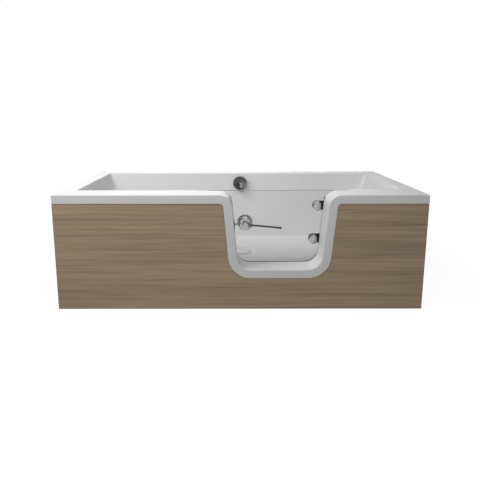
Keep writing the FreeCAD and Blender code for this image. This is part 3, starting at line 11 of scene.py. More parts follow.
import bmesh
import bpy
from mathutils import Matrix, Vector


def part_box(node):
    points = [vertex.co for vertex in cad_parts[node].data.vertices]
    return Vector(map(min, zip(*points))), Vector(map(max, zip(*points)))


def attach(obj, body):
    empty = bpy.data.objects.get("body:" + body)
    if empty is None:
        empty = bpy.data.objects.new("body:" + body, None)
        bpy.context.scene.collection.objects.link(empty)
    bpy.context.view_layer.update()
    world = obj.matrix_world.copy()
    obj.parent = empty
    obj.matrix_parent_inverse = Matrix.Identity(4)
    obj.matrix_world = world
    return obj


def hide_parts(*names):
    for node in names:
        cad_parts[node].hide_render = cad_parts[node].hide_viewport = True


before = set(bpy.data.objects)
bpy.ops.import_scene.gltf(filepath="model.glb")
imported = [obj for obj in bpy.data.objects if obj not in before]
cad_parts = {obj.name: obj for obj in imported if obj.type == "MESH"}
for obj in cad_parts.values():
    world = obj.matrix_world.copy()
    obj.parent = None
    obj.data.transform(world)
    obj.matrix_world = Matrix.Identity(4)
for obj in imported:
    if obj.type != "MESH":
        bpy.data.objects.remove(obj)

log = logging.getLogger("walk_in_bath")
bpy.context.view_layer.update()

Colour = tuple[float, float, float]
Point = tuple[float, float, float]
Stops = tuple[float, ...]
Pair = tuple[float, float]
Span = tuple[float, float]
Profile = list[Pair]
Form = bmesh.types.BMesh
Piece = bpy.types.Object
Node = bpy.types.ShaderNode
Socket = bpy.types.NodeSocket
Feed = Socket | float | Colour

WHITE: Colour = (1.0, 1.0, 1.0)
EVENLY: Point = (1.0, 1.0, 1.0)
MIDDLE: Span = (0.3, 0.7)  # most of a pattern's values lie between these
EDGE_LIMITS: Span = (0.52, 0.6)  # how pointed a surface is where an edge starts and is full
MIX_INPUTS = (0, 6, 7)  # a colour mix's sockets for the share and the two colours
MIX_OUTPUT = 2
WELD_GAP = 0.000002  # points nearer than this are one
SHARP_ANGLE = math.radians(32)  # an edge bent further isn't shaded smooth
EASED_ANGLE = math.radians(40)  # an edge bent further can be rounded
EASED_FACETS = 2


class Body(Enum):
    """The rigid bodies that new pieces ride on."""

    BATH = "bath"
    DOOR = "door"
    LEVER = "lever"
    KNOB = "knob"


class Slot(Enum):
    """The record's material slots, one passed along with each new piece."""

    GLASS = "door_glass"
    METAL = "polished_metal"
    RUBBER = "black_rubber"
    STEEL = "zinc_steel"


class Sum(Enum):
    """Sums of two values."""

    ADD = "ADD"
    MULTIPLY = "MULTIPLY"
    POWER = "POWER"


class Blend(Enum):
    """Ways to mix two colours."""

    COVER = "MIX"
    DARKEN = "MULTIPLY"


class Level(Enum):
    """The heights that the two hinges stand at."""

    UPPER = "upper"
    LOWER = "lower"


class LeverEnd(Enum):
    """The lever's ends, by the way that each points along X."""

    LONG = 1
    SHORT = -1


class Web:
    """The shader nodes of one material or world while they are being joined."""

    def __init__(self, tree: bpy.types.NodeTree, output: str) -> None:
        """Clear a tree and give it its output.

        Args:
            tree: The node tree to fill.
            output: The kind of output node, such as OutputMaterial.
        """
        self.tree = tree
        tree.nodes.clear()
        self.output = self.node(output)

    def node(self, kind: str, inputs: dict[str | int, Feed] | None = None,
             **settings: str) -> Node:
        """Add a node.

        Args:
            kind: The node's type without the ShaderNode prefix.
            inputs: Socket names or numbers, and for each a value or the socket that feeds it.
            **settings: The node's own properties.

        Returns:
            The new node.
        """
        made = self.tree.nodes.new("ShaderNode" + kind)
        for name, value in settings.items():
            setattr(made, name, value)
        for name, value in (inputs or {}).items():
            self.feed(made.inputs[name], value)
        return made

    def feed(self, socket: Socket, value: Feed) -> None:
        """Set a socket to a value, or link it to the socket that gives the value.

        Args:
            socket: The input to set or link.
            value: A number, a colour or another node's output.
        """
        if isinstance(value, Socket):
            self.tree.links.new(value, socket)
            return
        if socket.type == "RGBA" and len(value) == 3:
            value = (*value, 1.0)
        socket.default_value = value

    def place(self, stretch: Point = EVENLY) -> Socket:
        """Coordinates in metres on the piece, stretched per axis."""
        source = self.node("TexCoord").outputs["Object"]
        return self.node("Mapping", {"Vector": source, "Scale": stretch}).outputs[0]

    def noise(self, scale: float, stretch: Point = EVENLY, detail: float = 3.0,
              rough: float = 0.55, warp: float = 0.0) -> Socket:
        """A cloudy pattern.

        Args:
            scale: Clouds to the metre, along an axis whose stretch is 1.
            stretch: Extra frequency per axis.
            detail: Octaves of finer clouds.
            rough: How strong the finer clouds are.
            warp: How far the pattern is pushed out of shape.

        Returns:
            The pattern's value, 0 to 1.
        """
        made = self.node("TexNoise", {"Vector": self.place(stretch), "Scale": scale,
                                      "Detail": detail, "Roughness": rough, "Distortion": warp})
        return made.outputs[0]

    def cells(self, scale: float, stretch: Point = EVENLY) -> Node:
        """A pattern of separate cells, with a distance and a colour for each."""
        return self.node("TexVoronoi", {"Vector": self.place(stretch), "Scale": scale})

    def part(self, colour: Socket, number: int) -> Socket:
        """One part of a colour: 0 is its red and 1 its green."""
        return self.node("SeparateColor", {0: colour}).outputs[number]

    def ramp(self, value: Socket, *stops: tuple[float, Colour]) -> Socket:
        """Carry a value over to colours.

        Args:
            value: The value, 0 to 1.
            *stops: Colours that it passes through, each with its place from 0 to 1.

        Returns:
            The colour.
        """
        made = self.node("ValToRGB", {"Fac": value})
        elements = made.color_ramp.elements
        while len(elements) < len(stops):
            elements.new(0.5)
        for element, (place, colour) in zip(elements, stops):
            element.position = place
            element.color = (*colour, 1.0)
        return made.outputs[0]

    def spread(self, value: Socket, low: Feed, high: Feed, limits: Span = MIDDLE) -> Socket:
        """Carry a value between two limits over to low..high."""
        return self.node("MapRange", {"Value": value, "From Min": limits[0], "From Max": limits[1],
                                      "To Min": low, "To Max": high}).outputs[0]

    def mix(self, share: Feed, first: Feed, second: Feed, blend: Blend = Blend.COVER) -> Socket:
        """Mix two colours.

        Args:
            share: How much the second colour does.
            first: The first colour.
            second: The second colour.
            blend: What it does to the first.

        Returns:
            The mixed colour.
        """
        made = self.node("Mix", data_type="RGBA", blend_type=blend.value)
        for number, value in zip(MIX_INPUTS, (share, first, second)):
            self.feed(made.inputs[number], value)
        return made.outputs[MIX_OUTPUT]

    def sums(self, kind: Sum, first: Feed, second: Feed) -> Socket:
        """One sum of two values."""
        return self.node("Math", {0: first, 1: second}, operation=kind.value).outputs[0]

    def times(self, first: Feed, second: Feed) -> Socket:
        """Two values multiplied."""
        return self.sums(Sum.MULTIPLY, first, second)

    def bump(self, height: Socket, depth: float, under: Socket | None = None) -> Socket:
        """Relief from a height.

        Args:
            height: The relief's height, 0 to 1.
            depth: Its full height in metres.
            under: Coarser relief that this one lies on.

        Returns:
            The normal to shade with.
        """
        inputs = {"Height": height, "Distance": depth}
        if under is not None:
            inputs["Normal"] = under
        return self.node("Bump", inputs).outputs[0]

    def edges(self) -> Socket:
        """1 along the outer edges of a piece and 0 elsewhere."""
        point = self.node("NewGeometry").outputs["Pointiness"]
        return self.spread(point, 0.0, 1.0, EDGE_LIMITS)

    def principled(self, **inputs: Feed) -> Node:
        """A principled shader. Names have underscores where its sockets have spaces."""
        named = {name.replace("_", " "): value for name, value in inputs.items()}
        return self.node("BsdfPrincipled", named)

    def show(self, shader: Node) -> None:
        """End in a shader."""
        self.feed(self.output.inputs["Surface"], shader.outputs[0])

    def show_both(self, share: Socket, first: Node, second: Node) -> None:
        """End in two shaders, mixed by a share of the second."""
        shaders = {0: share, 1: first.outputs[0], 2: second.outputs[0]}
        self.show(self.node("MixShader", shaders))


@dataclass(frozen=True)
class Finish:
    """A surface finish: its colour and shine, with grain and wear from its own nodes."""

    name: str
    colour: Colour
    roughness: float
    uneven: Span = (0.85, 1.15)
    specular: float = 0.5

    def material(self) -> bpy.types.Material:
        """Build this finish's material the first time it is asked for.

        Returns:
            The material.
        """
        label = "finish_" + self.name
        found = bpy.data.materials.get(label)
        if found:
            return found
        material = bpy.data.materials.new(label)
        material.use_nodes = True
        self.paint(Web(material.node_tree, "OutputMaterial"))
        return material

    def shade(self, factor: float) -> Colour:
        """The finish's colour made lighter or darker."""
        return tuple(min(1.0, part * factor) for part in self.colour)

    def tones(self, web: Web, pattern: Socket, tones: Span) -> Socket:
        """The finish's colour, between two shades of itself as a pattern goes."""
        return web.ramp(pattern, *((place, self.shade(tone)) for place, tone in zip(MIDDLE, tones)))

    def shine(self, web: Web, pattern: Socket) -> Socket:
        """The finish's roughness, between two shares of itself as a pattern goes."""
        return web.spread(pattern, *(self.roughness * share for share in self.uneven))

    def surface(self, web: Web, colour: Socket, marks: Socket, relief: Socket,
                metal: Feed = 0.0) -> None:
        """End in one surface.

        Args:
            web: The material's nodes.
            colour: Its colour.
            marks: The pattern that its shine follows.
            relief: The normal to shade with.
            metal: How much of it is metal.
        """
        web.show(web.principled(Base_Color=colour, Roughness=self.shine(web, marks),
                                Normal=relief, Metallic=metal, Specular_IOR_Level=self.specular))

    def paint(self, web: Web) -> None:
        """Join the finish's nodes."""
        raise NotImplementedError


@dataclass(frozen=True)
class Moulded(Finish):
    """Moulded plastic: nearly even, with faint clouds and a fine orange-peel relief."""

    cloud: float = 0.02
    cloud_scale: float = 3.0
    shine_scale: float = 14.0
    peel: float = 0.00004
    peel_scale: float = 220.0
    wear: float = 0.0
    scuff_scale: float = 60.0
    scuff_tone: float = 2.2

    def paint(self, web: Web) -> None:
        """Join faint clouds in the colour, scuffed edges, uneven shine and orange peel.

        Args:
            web: The material's nodes.
        """
        clouds = web.noise(self.cloud_scale, detail=4.0)
        colour = self.tones(web, clouds, (1.0 - self.cloud, 1.0 + self.cloud))
        if self.wear:
            scuffs = web.times(web.edges(), web.noise(self.scuff_scale))
            share = web.times(scuffs, self.wear)
            colour = web.mix(share, colour, self.shade(self.scuff_tone))
        relief = web.bump(web.noise(self.peel_scale, detail=1.0), self.peel)
        self.surface(web, colour, web.noise(self.shine_scale), relief)


@dataclass(frozen=True)
class Wood(Finish):
    """Wood with its grain along X: soft bands, long streaks, fine fibres and short dark pores."""

    uneven: Span = (1.1, 0.9)
    specular: float = 0.35
    band: float = 0.19
    band_grain: Point = (0.45, 9.0, 14.0)
    band_warp: float = 0.2
    band_stops: Stops = (0.3, 0.5, 0.72)
    streak: float = 0.26
    streak_lift: float = 0.25
    streak_grain: Point = (1.9, 90.0, 150.0)
    streak_rough: float = 0.8
    streak_warp: float = 0.04
    streak_stops: Stops = (0.32, 0.54, 0.7)
    fibre_grain: Point = (14.0, 300.0, 620.0)
    fibre_colour: Colour = (0.93, 0.925, 0.92)
    fibre_stops: Stops = (0.3, 0.6)
    pore: float = 0.3
    pore_grain: Point = (45.0, 500.0, 900.0)
    pore_tone: float = 0.55
    pore_limits: Span = (0.24, 0.36)
    depth: float = 0.00012

    def paint(self, web: Web) -> None:
        """Join bands, streaks, fibres and pores in the colour, and two of them in the relief.

        Args:
            web: The material's nodes.
        """
        bands = web.noise(1.0, self.band_grain, warp=self.band_warp)
        streaks = web.noise(1.0, self.streak_grain, detail=2.0, rough=self.streak_rough,
                            warp=self.streak_warp)
        fibres = web.noise(1.0, self.fibre_grain)
        pores = web.noise(1.0, self.pore_grain, detail=1.0)
        band_colours = self.shade(1 - self.band), self.colour, self.shade(1 + self.band)
        lightest = 1 + self.streak * self.streak_lift
        streak_colours = (1 - self.streak,) * 3, WHITE, (lightest,) * 3
        colour = web.ramp(bands, *zip(self.band_stops, band_colours))
        for pattern, stops in ((streaks, zip(self.streak_stops, streak_colours)),
                               (fibres, zip(self.fibre_stops, (self.fibre_colour, WHITE)))):
            colour = web.mix(1.0, colour, web.ramp(pattern, *stops), Blend.DARKEN)
        share = web.spread(pores, self.pore, 0.0, self.pore_limits)
        colour = web.mix(share, colour, self.shade(self.pore_tone))
        relief = web.bump(fibres, self.depth, under=web.bump(streaks, self.depth))
        self.surface(web, colour, streaks, relief)


@dataclass(frozen=True)
class Chipboard(Finish):
    """Pressed wood chips in many tones."""

    uneven: Span = (0.75 / 0.85, 0.95 / 0.85)
    chip_scale: float = 160.0
    chip_stretch: Point = (0.5, 1.0, 1.0)
    chip_tones: Span = (0.6, 1.35)
    dust: float = 0.35
    dust_scale: float = 500.0
    dust_tone: float = 0.75
    depth: float = 0.0005

    def paint(self, web: Web) -> None:
        """Join long and short chips, each in its own tone, dust on them and rough relief.

        Args:
            web: The material's nodes.
        """
        chips = web.cells(self.chip_scale, self.chip_stretch)
        dark, light = (self.shade(tone) for tone in self.chip_tones)
        colour = web.ramp(web.part(chips.outputs["Color"], 0), (0.0, dark), (0.5, self.colour),
                          (1.0, light))
        dust = web.noise(self.dust_scale)
        colour = web.mix(web.spread(dust, 0.0, self.dust), colour, self.shade(self.dust_tone))
        self.surface(web, colour, dust, web.bump(chips.outputs["Distance"], self.depth))


@dataclass(frozen=True)
class Metal(Finish):
    """Bare or plated metal: smudges, a brushed or cast grain and brighter edges."""

    uneven: Span = (0.7, 1.4)
    stretch: Point = EVENLY
    grain: float = 260.0
    depth: float = 0.00001
    smudge: float = 0.35
    smudge_scale: float = 22.0
    smudge_tones: Span = (0.9, 1.06)
    spangle: float = 0.0
    spangle_scale: float = 130.0
    spangle_tone: float = 0.55
    edge: float = 0.4
    edge_tone: float = 1.3

    def paint(self, web: Web) -> None:
        """Join colour, shine and relief from smudges and grain.

        Args:
            web: The material's nodes.
        """
        smudges = web.noise(self.smudge_scale, detail=4.0)
        grain = web.noise(self.grain, self.stretch, detail=2.0)
        colour = self.tones(web, smudges, self.smudge_tones)
        if self.spangle:
            flakes = web.part(web.cells(self.spangle_scale).outputs["Color"], 1)
            share = web.times(flakes, self.spangle)
            colour = web.mix(share, colour, self.shade(self.spangle_tone))
        # edges are made lighter in colour where the surface is pointed
        lighter_edges = web.times(web.edges(), self.edge)
        colour = web.mix(lighter_edges, colour, self.shade(self.edge_tone))
        marks = web.sums(Sum.ADD, web.times(smudges, self.smudge),
                         web.times(grain, 1 - self.smudge))
        self.surface(web, colour, marks, web.bump(grain, self.depth), metal=1.0)


@dataclass(frozen=True)
class Painted(Finish):
    """Powder-coated steel: a pebbled coat, dust on top and bare metal at knocked edges."""

    bare: Colour = (0.32, 0.32, 0.33)
    cloud_scale: float = 9.0
    cloud_tones: Span = (0.9, 1.08)
    dust: float = 0.3
    dust_scale: float = 35.0
    dust_tone: float = 1.5
    dust_limits: Span = (0.5, 1.0)
    chip_scale: float = 90.0
    chip_limits: Span = (0.55, 0.65)
    pebble_scale: float = 700.0
    depth: float = 0.00006

    def paint(self, web: Web) -> None:
        """Join clouds and dust in the coat, and chips along the edges.

        Args:
            web: The material's nodes.
        """
        clouds = web.noise(self.cloud_scale, detail=5.0)
        colour = self.tones(web, clouds, self.cloud_tones)
        up = web.node("SeparateXYZ", {0: web.node("NewGeometry").outputs["Normal"]}).outputs[2]
        dust = web.times(web.spread(up, 0.0, self.dust, self.dust_limits),
                        web.noise(self.dust_scale))
        colour = web.mix(dust, colour, self.shade(self.dust_tone))
        knocks = web.spread(web.noise(self.chip_scale), 0.0, 1.0, self.chip_limits)
        chips = web.times(web.edges(), knocks)
        colour = web.mix(chips, colour, self.bare)
        relief = web.bump(web.noise(self.pebble_scale, detail=1.0), self.depth)
        self.surface(web, colour, clouds, relief, metal=chips)


@dataclass(frozen=True)
class Rubber(Finish):
    """Matt rubber, with a dusty bloom and a fine moulded relief."""

    uneven: Span = (0.9, 1.1)
    specular: float = 0.35
    bloom: float = 0.25
    bloom_scale: float = 30.0
    bloom_tone: float = 1.8
    relief_scale: float = 600.0
    depth: float = 0.00003

    def paint(self, web: Web) -> None:
        """Join bloom in the colour and a fine relief.

        Args:
            web: The material's nodes.
        """
        bloom = web.noise(self.bloom_scale, detail=5.0)
        share = web.spread(bloom, 0.0, self.bloom)
        colour = web.mix(share, self.colour, self.shade(self.bloom_tone))
        self.surface(web, colour, bloom, web.bump(web.noise(self.relief_scale), self.depth))


@dataclass(frozen=True)
class Glass(Finish):
    """Clear toughened glass: mostly see-through, with a glossy skin and faint water marks."""

    uneven: Span = (0.6, 1.5)
    tint: Colour = (0.984, 0.988, 0.986)
    mark_scale: float = 30.0
    mark_stretch: Point = (1.0, 1.0, 0.35)
    mark_tones: Span = (1.0, 1.1)
    bending: float = 1.5
    mirror: float = 0.8

    def paint(self, web: Web) -> None:
        """Let most light straight through and reflect more of it at a flat angle.

        Args:
            web: The material's nodes.
        """
        marks = web.noise(self.mark_scale, self.mark_stretch, detail=5.0)
        skin = web.principled(Base_Color=self.tones(web, marks, self.mark_tones),
                              Roughness=self.shine(web, marks))
        through = web.node("BsdfTransparent", {"Color": self.tint})
        edge = web.node("Fresnel", {"IOR": self.bending}).outputs[0]
        web.show_both(web.times(edge, self.mirror), through, skin)


class Palette:
    """Every finish on the bath."""

    ACRYLIC = Moulded("shell_white", (0.84, 0.84, 0.838), 0.34, cloud=0.004, peel=0.000008)
    OAK = Wood("panel_oak", (0.495, 0.364, 0.236), 0.6)
    PINE = Wood("batten_pine", (0.62, 0.45, 0.27), 0.7, band=0.2, streak=0.2)
    CHIPBOARD = Chipboard("board_chips", (0.5, 0.37, 0.22), 0.85)
    FRAME = Painted("frame_grey", (0.36, 0.37, 0.38), 0.45)
    ZINC = Metal("plated_zinc", (0.6, 0.61, 0.62), 0.34, spangle=0.35, depth=0.00002)
    POLISHED = Metal("polished_metal", (0.38, 0.38, 0.383), 0.16)
    SATIN = Metal("satin_metal", (0.4, 0.4, 0.404), 0.26)
    COVER = Metal("cover_metal", (0.86, 0.86, 0.865), 0.24, grain=500.0, depth=0.000001)
    # painted shade: chrome darkened for the overflow knob
    KNOB = Metal("knob_chrome_painted_shade", (0.19, 0.19, 0.193), 0.14)
    # painted highlight: the same chrome lightened for the knob's finger grip
    GRIP_PAINTED_HIGHLIGHT = Metal("grip_chrome_painted_highlight", (0.6, 0.6, 0.604), 0.16)
    # painted shade: chrome darkened for the lever's long arm and the keeper
    DARK_PAINTED_SHADE = Metal("chrome_painted_shade", (0.06, 0.06, 0.062), 0.25)
    # painted shade: chrome darkened for the lever's collars
    COLLAR_PAINTED_SHADE = Metal("collar_chrome_painted_shade", (0.13, 0.13, 0.132), 0.2)
    # near black: partly a black coat, partly painted shade for the shadow the hinge arms and
    # brackets stand in behind the pane
    BLACK_COAT_AND_SHADE = Metal("black_metal", (0.035, 0.035, 0.036), 0.4)
    BRASS = Metal("turned_brass", (0.7, 0.5, 0.22), 0.25, stretch=(1.0, 6.0, 1.0))
    BLACK_RUBBER = Rubber("black_rubber", (0.025, 0.025, 0.025), 0.75)
    SEAL = Rubber("seal_rubber", (0.04, 0.04, 0.041), 0.5, bloom=0.1)
    BLACK_PLASTIC = Moulded("black_plastic", (0.03, 0.03, 0.032), 0.5, cloud=0.1, peel=0.0001,
                            wear=0.4)
    WASTE_PLASTIC = Moulded("waste_plastic", (0.72, 0.72, 0.71), 0.45, peel=0.00008)
    PANE = Glass("clear_glass", (0.5, 0.505, 0.505), 0.04)
    PANE_EDGE = Moulded("glass_edge", (0.10, 0.115, 0.11), 0.2, cloud=0.1)


def smoothing() -> bpy.types.NodeTree:
    """Build the node group that welds a mesh and shades it smooth, except across sharp edges.

    Returns:
        The one group that every piece shares.
    """
    name = "smooth_by_angle"
    found = bpy.data.node_groups.get(name)
    if found:
        return found
    group = bpy.data.node_groups.new(name, "GeometryNodeTree")
    for way in ("INPUT", "OUTPUT"):
        group.interface.new_socket("Geometry", in_out=way, socket_type="NodeSocketGeometry")
    add = group.nodes.new
    source, end = add("NodeGroupInput"), add("NodeGroupOutput")
    weld = add("GeometryNodeMergeByDistance")
    weld.inputs["Distance"].default_value = WELD_GAP
    faces, sides = (add("GeometryNodeSetShadeSmooth") for _ in range(2))
    faces.domain, sides.domain = "FACE", "EDGE"
    sides.inputs["Shade Smooth"].default_value = False
    angle = add("GeometryNodeInputMeshEdgeAngle")
    sharp = add("FunctionNodeCompare")
    sharp.data_type = "FLOAT"
    sharp.operation = "GREATER_THAN"
    sharp.inputs[1].default_value = SHARP_ANGLE
    join = group.links.new
    join(source.outputs[0], weld.inputs["Geometry"])
    join(weld.outputs[0], faces.inputs["Geometry"])
    join(faces.outputs[0], sides.inputs["Geometry"])
    join(angle.outputs["Unsigned Angle"], sharp.inputs[0])
    join(sharp.outputs[0], sides.inputs["Selection"])
    join(sides.outputs[0], end.inputs[0])
    return group


def soften(piece: Piece, edge: float = 0.0) -> None:
    """Shade a piece smooth between its sharp edges, and round those edges where asked.

    Args:
        piece: The object to soften.
        edge: The width of the rounding, or 0 for none.
    """
    smooth = piece.modifiers.new("smooth", "NODES")
    smooth.node_group = smoothing()
    if edge:
        bevel = piece.modifiers.new("eased_edges", "BEVEL")
        bevel.width = edge
        bevel.segments = EASED_FACETS
        bevel.limit_method = "ANGLE"
        bevel.angle_limit = EASED_ANGLE
        bevel.harden_normals = True


def dress(node: str, finish: Finish, edge: float = 0.0) -> Piece:
    """Give a CAD node its finish and soft shading.

    Args:
        node: The CAD node's name.
        finish: What it is finished in.
        edge: The width that its sharp edges are rounded by.

    Returns:
        The node's object.
    """
    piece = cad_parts[node]
    for slot in piece.material_slots:
        slot.link = "OBJECT"
        slot.material = finish.material()
    soften(piece, edge)
    return piece


def put(name: str, data: bpy.types.ID) -> bpy.types.Object:
    """Put a mesh, a lamp or a camera into the scene.

    Args:
        name: The new object's name.
        data: What it shows.

    Returns:
        The new object.
    """
    item = bpy.data.objects.new(name, data)
    bpy.context.scene.collection.objects.link(item)
    return item


def new_piece(name: str, form: Form, finish: Finish, body: Body, slot: Slot,
              *nodes: str) -> Piece:
    """Make a piece that stands for CAD nodes.

    Args:
        name: The piece's name.
        form: Its form, which this call uses up.
        finish: What it is finished in.
        body: The body that it rides on.
        slot: The record's material slot that it would take its finish from; not used.
        *nodes: The CAD nodes that it replaces.

    Returns:
        The new object.
    """
    mesh = bpy.data.meshes.new(name)
    bmesh.ops.recalc_face_normals(form, faces=form.faces)
    form.to_mesh(mesh)
    form.free()
    mesh.materials.append(finish.material())
    piece = put(name, mesh)
    soften(piece)
    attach(piece, body.value)
    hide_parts(*nodes)
    return piece


def second_finish(piece: Piece, finish: Finish,
                  takes: Callable[[bpy.types.MeshPolygon], bool]) -> None:
    """Give some of a piece's faces a finish of their own.

    Args:
        piece: The piece.
        finish: What those faces are finished in.
        takes: Tells whether a face is one of them.
    """
    piece.data.materials.append(finish.material())
    for face in piece.data.polygons:
        face.material_index = int(takes(face))


def copy_form(node: str) -> Form:
    """Copy a CAD node's form and weld it.

    Args:
        node: The CAD node's name.

    Returns:
        The copy.
    """
    form = bmesh.new()
    form.from_mesh(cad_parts[node].data)
    bmesh.ops.remove_doubles(form, verts=form.verts, dist=WELD_GAP)
    return form


def add_form(form: Form, other: Form) -> None:
    """Add a second form to the first.

    Args:
        form: The form that grows.
        other: The form that this call adds and uses up.
    """
    mesh = bpy.data.meshes.new("part")
    other.to_mesh(mesh)
    other.free()
    form.from_mesh(mesh)
    bpy.data.meshes.remove(mesh)


def skin(form: Form, rings: list[list[bmesh.types.BMVert]], capped: bool = True) -> None:
    """Join rings of points with faces.

    Args:
        form: The form that the points are in.
        rings: Equally long rings. A ring that is one point repeated makes triangles.
        capped: Whether the first ring and the last are filled.
    """
    for first, second in zip(rings, rings[1:]):
        for side in range(len(first)):
            after = (side + 1) % len(first)
            corners = dict.fromkeys((first[side], first[after], second[after], second[side]))
            form.faces.new(tuple(corners))
    if capped:
        form.faces.new(rings[0][::-1])
        form.faces.new(rings[-1])


def sweep(path: list[Vector], across: list[Vector], depth: Vector, profile: Profile) -> Form:
    """Carry a closed profile along a path.

    Args:
        path: The path's points.
        across: For each point, the profile's first direction there.
        depth: The profile's second direction, the same all along.
        profile: The outline as (across, depth) pairs.

    Returns:
        The closed form.
    """
    form = bmesh.new()
    skin(form, [[form.verts.new(point + side * a + depth * d) for a, d in profile]
                for point, side in zip(path, across)])
    return form


def lathe(profile: Profile, place: Vector, axis: Vector, up: Vector, flatten: float = 1.0,
          sides: int = 48) -> Form:
    """Turn a profile about an axis.

    Args:
        profile: The outline as (radius, height) pairs, from the axis round to the axis again.
        place: The axis's start.
        axis: The direction that heights are measured in.
        up: A direction square to the axis, in which the radius is kept whole.
        flatten: The share of the radius kept square to both.
        sides: Facets in a turn.

    Returns:
        The closed form.
    """
    form = bmesh.new()
    across = axis.cross(up) * flatten
    turns = [2 * math.pi * side / sides for side in range(sides)]
    rings = []
    for radius, height in profile:
        centre = place + axis * height
        if radius == 0:
            rings.append([form.verts.new(centre)] * sides)
        else:
            rings.append([form.verts.new(
                centre + (up * math.cos(turn) + across * math.sin(turn)) * radius)
                for turn in turns])
    skin(form, rings, capped=False)
    return form


def quarter(steps: int) -> Profile:
    """The cosine and the sine at even steps through a quarter turn."""
    turns = [math.pi / 2 * step / steps for step in range(steps + 1)]
    return [(math.cos(turn), math.sin(turn)) for turn in turns]


@dataclass
class Doorway:
    """The doorway's U outline, which the seal follows."""

    centre: float = 0.180
    sill_half: float = 0.1905
    sill: float = 0.194
    lean: float = 0.031 / 0.351
    corner: float = 0.065
    corner_steps: int = 10
    side_steps: int = 8

    def line(self, growth: float, top: float) -> tuple[list[Vector], list[Vector]]:
        """Follow the U from its top left to its top right.

        Args:
            growth: How far outside the doorway the line runs.
            top: The height of its two ends.

        Returns:
            Points with no depth, and the outward direction at each.
        """
        slant = math.atan(self.lean)
        half = self.sill_half - self.lean * growth + growth / math.cos(slant)
        radius = self.corner + growth
        turn = math.pi / 2 - slant
        middle = Vector((half - radius * math.tan(turn / 2), 0, self.sill - growth + radius))
        right: list[tuple[Vector, Vector]] = []
        for step in range(self.corner_steps + 1):
            angle = -math.pi / 2 + turn * step / self.corner_steps
            out = Vector((math.cos(angle), 0, math.sin(angle)))
            right.append((middle + out * radius, out))
        foot, out = right[-1]
        for step in range(1, self.side_steps + 1):
            rise = (top - foot.z) * step / self.side_steps
            right.append((foot + Vector((rise * math.tan(slant), 0, rise)), out))
        left = [(Vector((-point.x, 0, point.z)), Vector((-side.x, 0, side.z)))
                for point, side in right]
        both = left[::-1] + right
        shift = Vector((self.centre, 0, 0))
        return [point + shift for point, _ in both], [side for _, side in both]


@dataclass
class MouldedShell:
    """The one-piece moulded shell."""

    node: str = "bath_shell"

    def build(self) -> list[Piece]:
        """Finish the shell."""
        return [dress(self.node, Palette.ACRYLIC)]


@dataclass
class FrontPanel:
    """The wooden front and the timber and boards behind it."""

    panel_edge: float = 0.0008
    board_edge: float = 0.0005

    def build(self) -> list[Piece]:
        """Finish the panel, the base board and the battens.

        Returns:
            The finished pieces.
        """
        return [dress("front_panel", Palette.OAK, self.panel_edge),
                dress("base_board", Palette.CHIPBOARD, self.board_edge),
                dress("rim_batten_left", Palette.PINE, self.board_edge),
                dress("rim_batten_right", Palette.PINE, self.board_edge)]


@dataclass
class GlassDoor:
    """The pane, with its polished edge, and the rubber seal that it closes against."""

    arris: float = 0.0014
    arris_angle: float = 60.0
    flat_facing: float = 0.9
    seal_width: float = 0.016
    seal_setback: float = 0.004
    seal_top: float = 0.512
    foot: float = 0.0035
    foot_side: float = 0.7
    foot_shares: Pair = (0.8, 0.95)
    bulb: float = 0.86
    bulb_fullness: float = 0.7
    bulb_steps: int = 12
    lean: float = 0.0062

    def pane(self) -> Piece:
        """Make the pane, with clear faces and a darker polished edge all round.

        Returns:
            The pane.
        """
        form = copy_form("glass_door")
        sharp = [edge for edge in form.edges
                 if edge.calc_face_angle(0.0) > math.radians(self.arris_angle)]
        bmesh.ops.bevel(form, geom=sharp, offset=self.arris, segments=1, affect="EDGES")
        piece = new_piece("door_pane", form, Palette.PANE, Body.DOOR, Slot.GLASS, "glass_door")
        second_finish(piece, Palette.PANE_EDGE,
                      lambda face: abs(face.normal.y) <= self.flat_facing)
        return piece

    def seal(self) -> Piece:
        """Make the seal: a flat foot on the frame, and a soft bulb that leans to the doorway.

        Returns:
            The seal.
        """
        low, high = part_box("door_gasket")
        half = self.seal_width / 2
        foot_side = self.foot * self.foot_side
        outer, inner = self.foot_shares
        profile = [(-half, 0.0), (half, 0.0), (half, foot_side), (half * outer, self.foot)]
        rise = high.y - low.y - self.foot
        for step in range(self.bulb_steps + 1):
            angle = math.pi * step / self.bulb_steps
            bend = math.sin(angle) ** self.bulb_fullness
            profile.append((half * self.bulb * math.cos(angle) - self.lean * bend,
                            self.foot + rise * bend))
        profile += [(-half * inner, self.foot), (-half, foot_side)]
        points, sides = Doorway().line(self.seal_setback + half, self.seal_top)
        origin = Vector((0, low.y, 0))
        form = sweep([point + origin for point in points], sides, Vector((0, 1, 0)), profile)
        return new_piece("door_seal", form, Palette.SEAL, Body.BATH, Slot.RUBBER, "door_gasket")

    def build(self) -> list[Piece]:
        """Make the pane and the seal."""
        return [self.pane(), self.seal()]


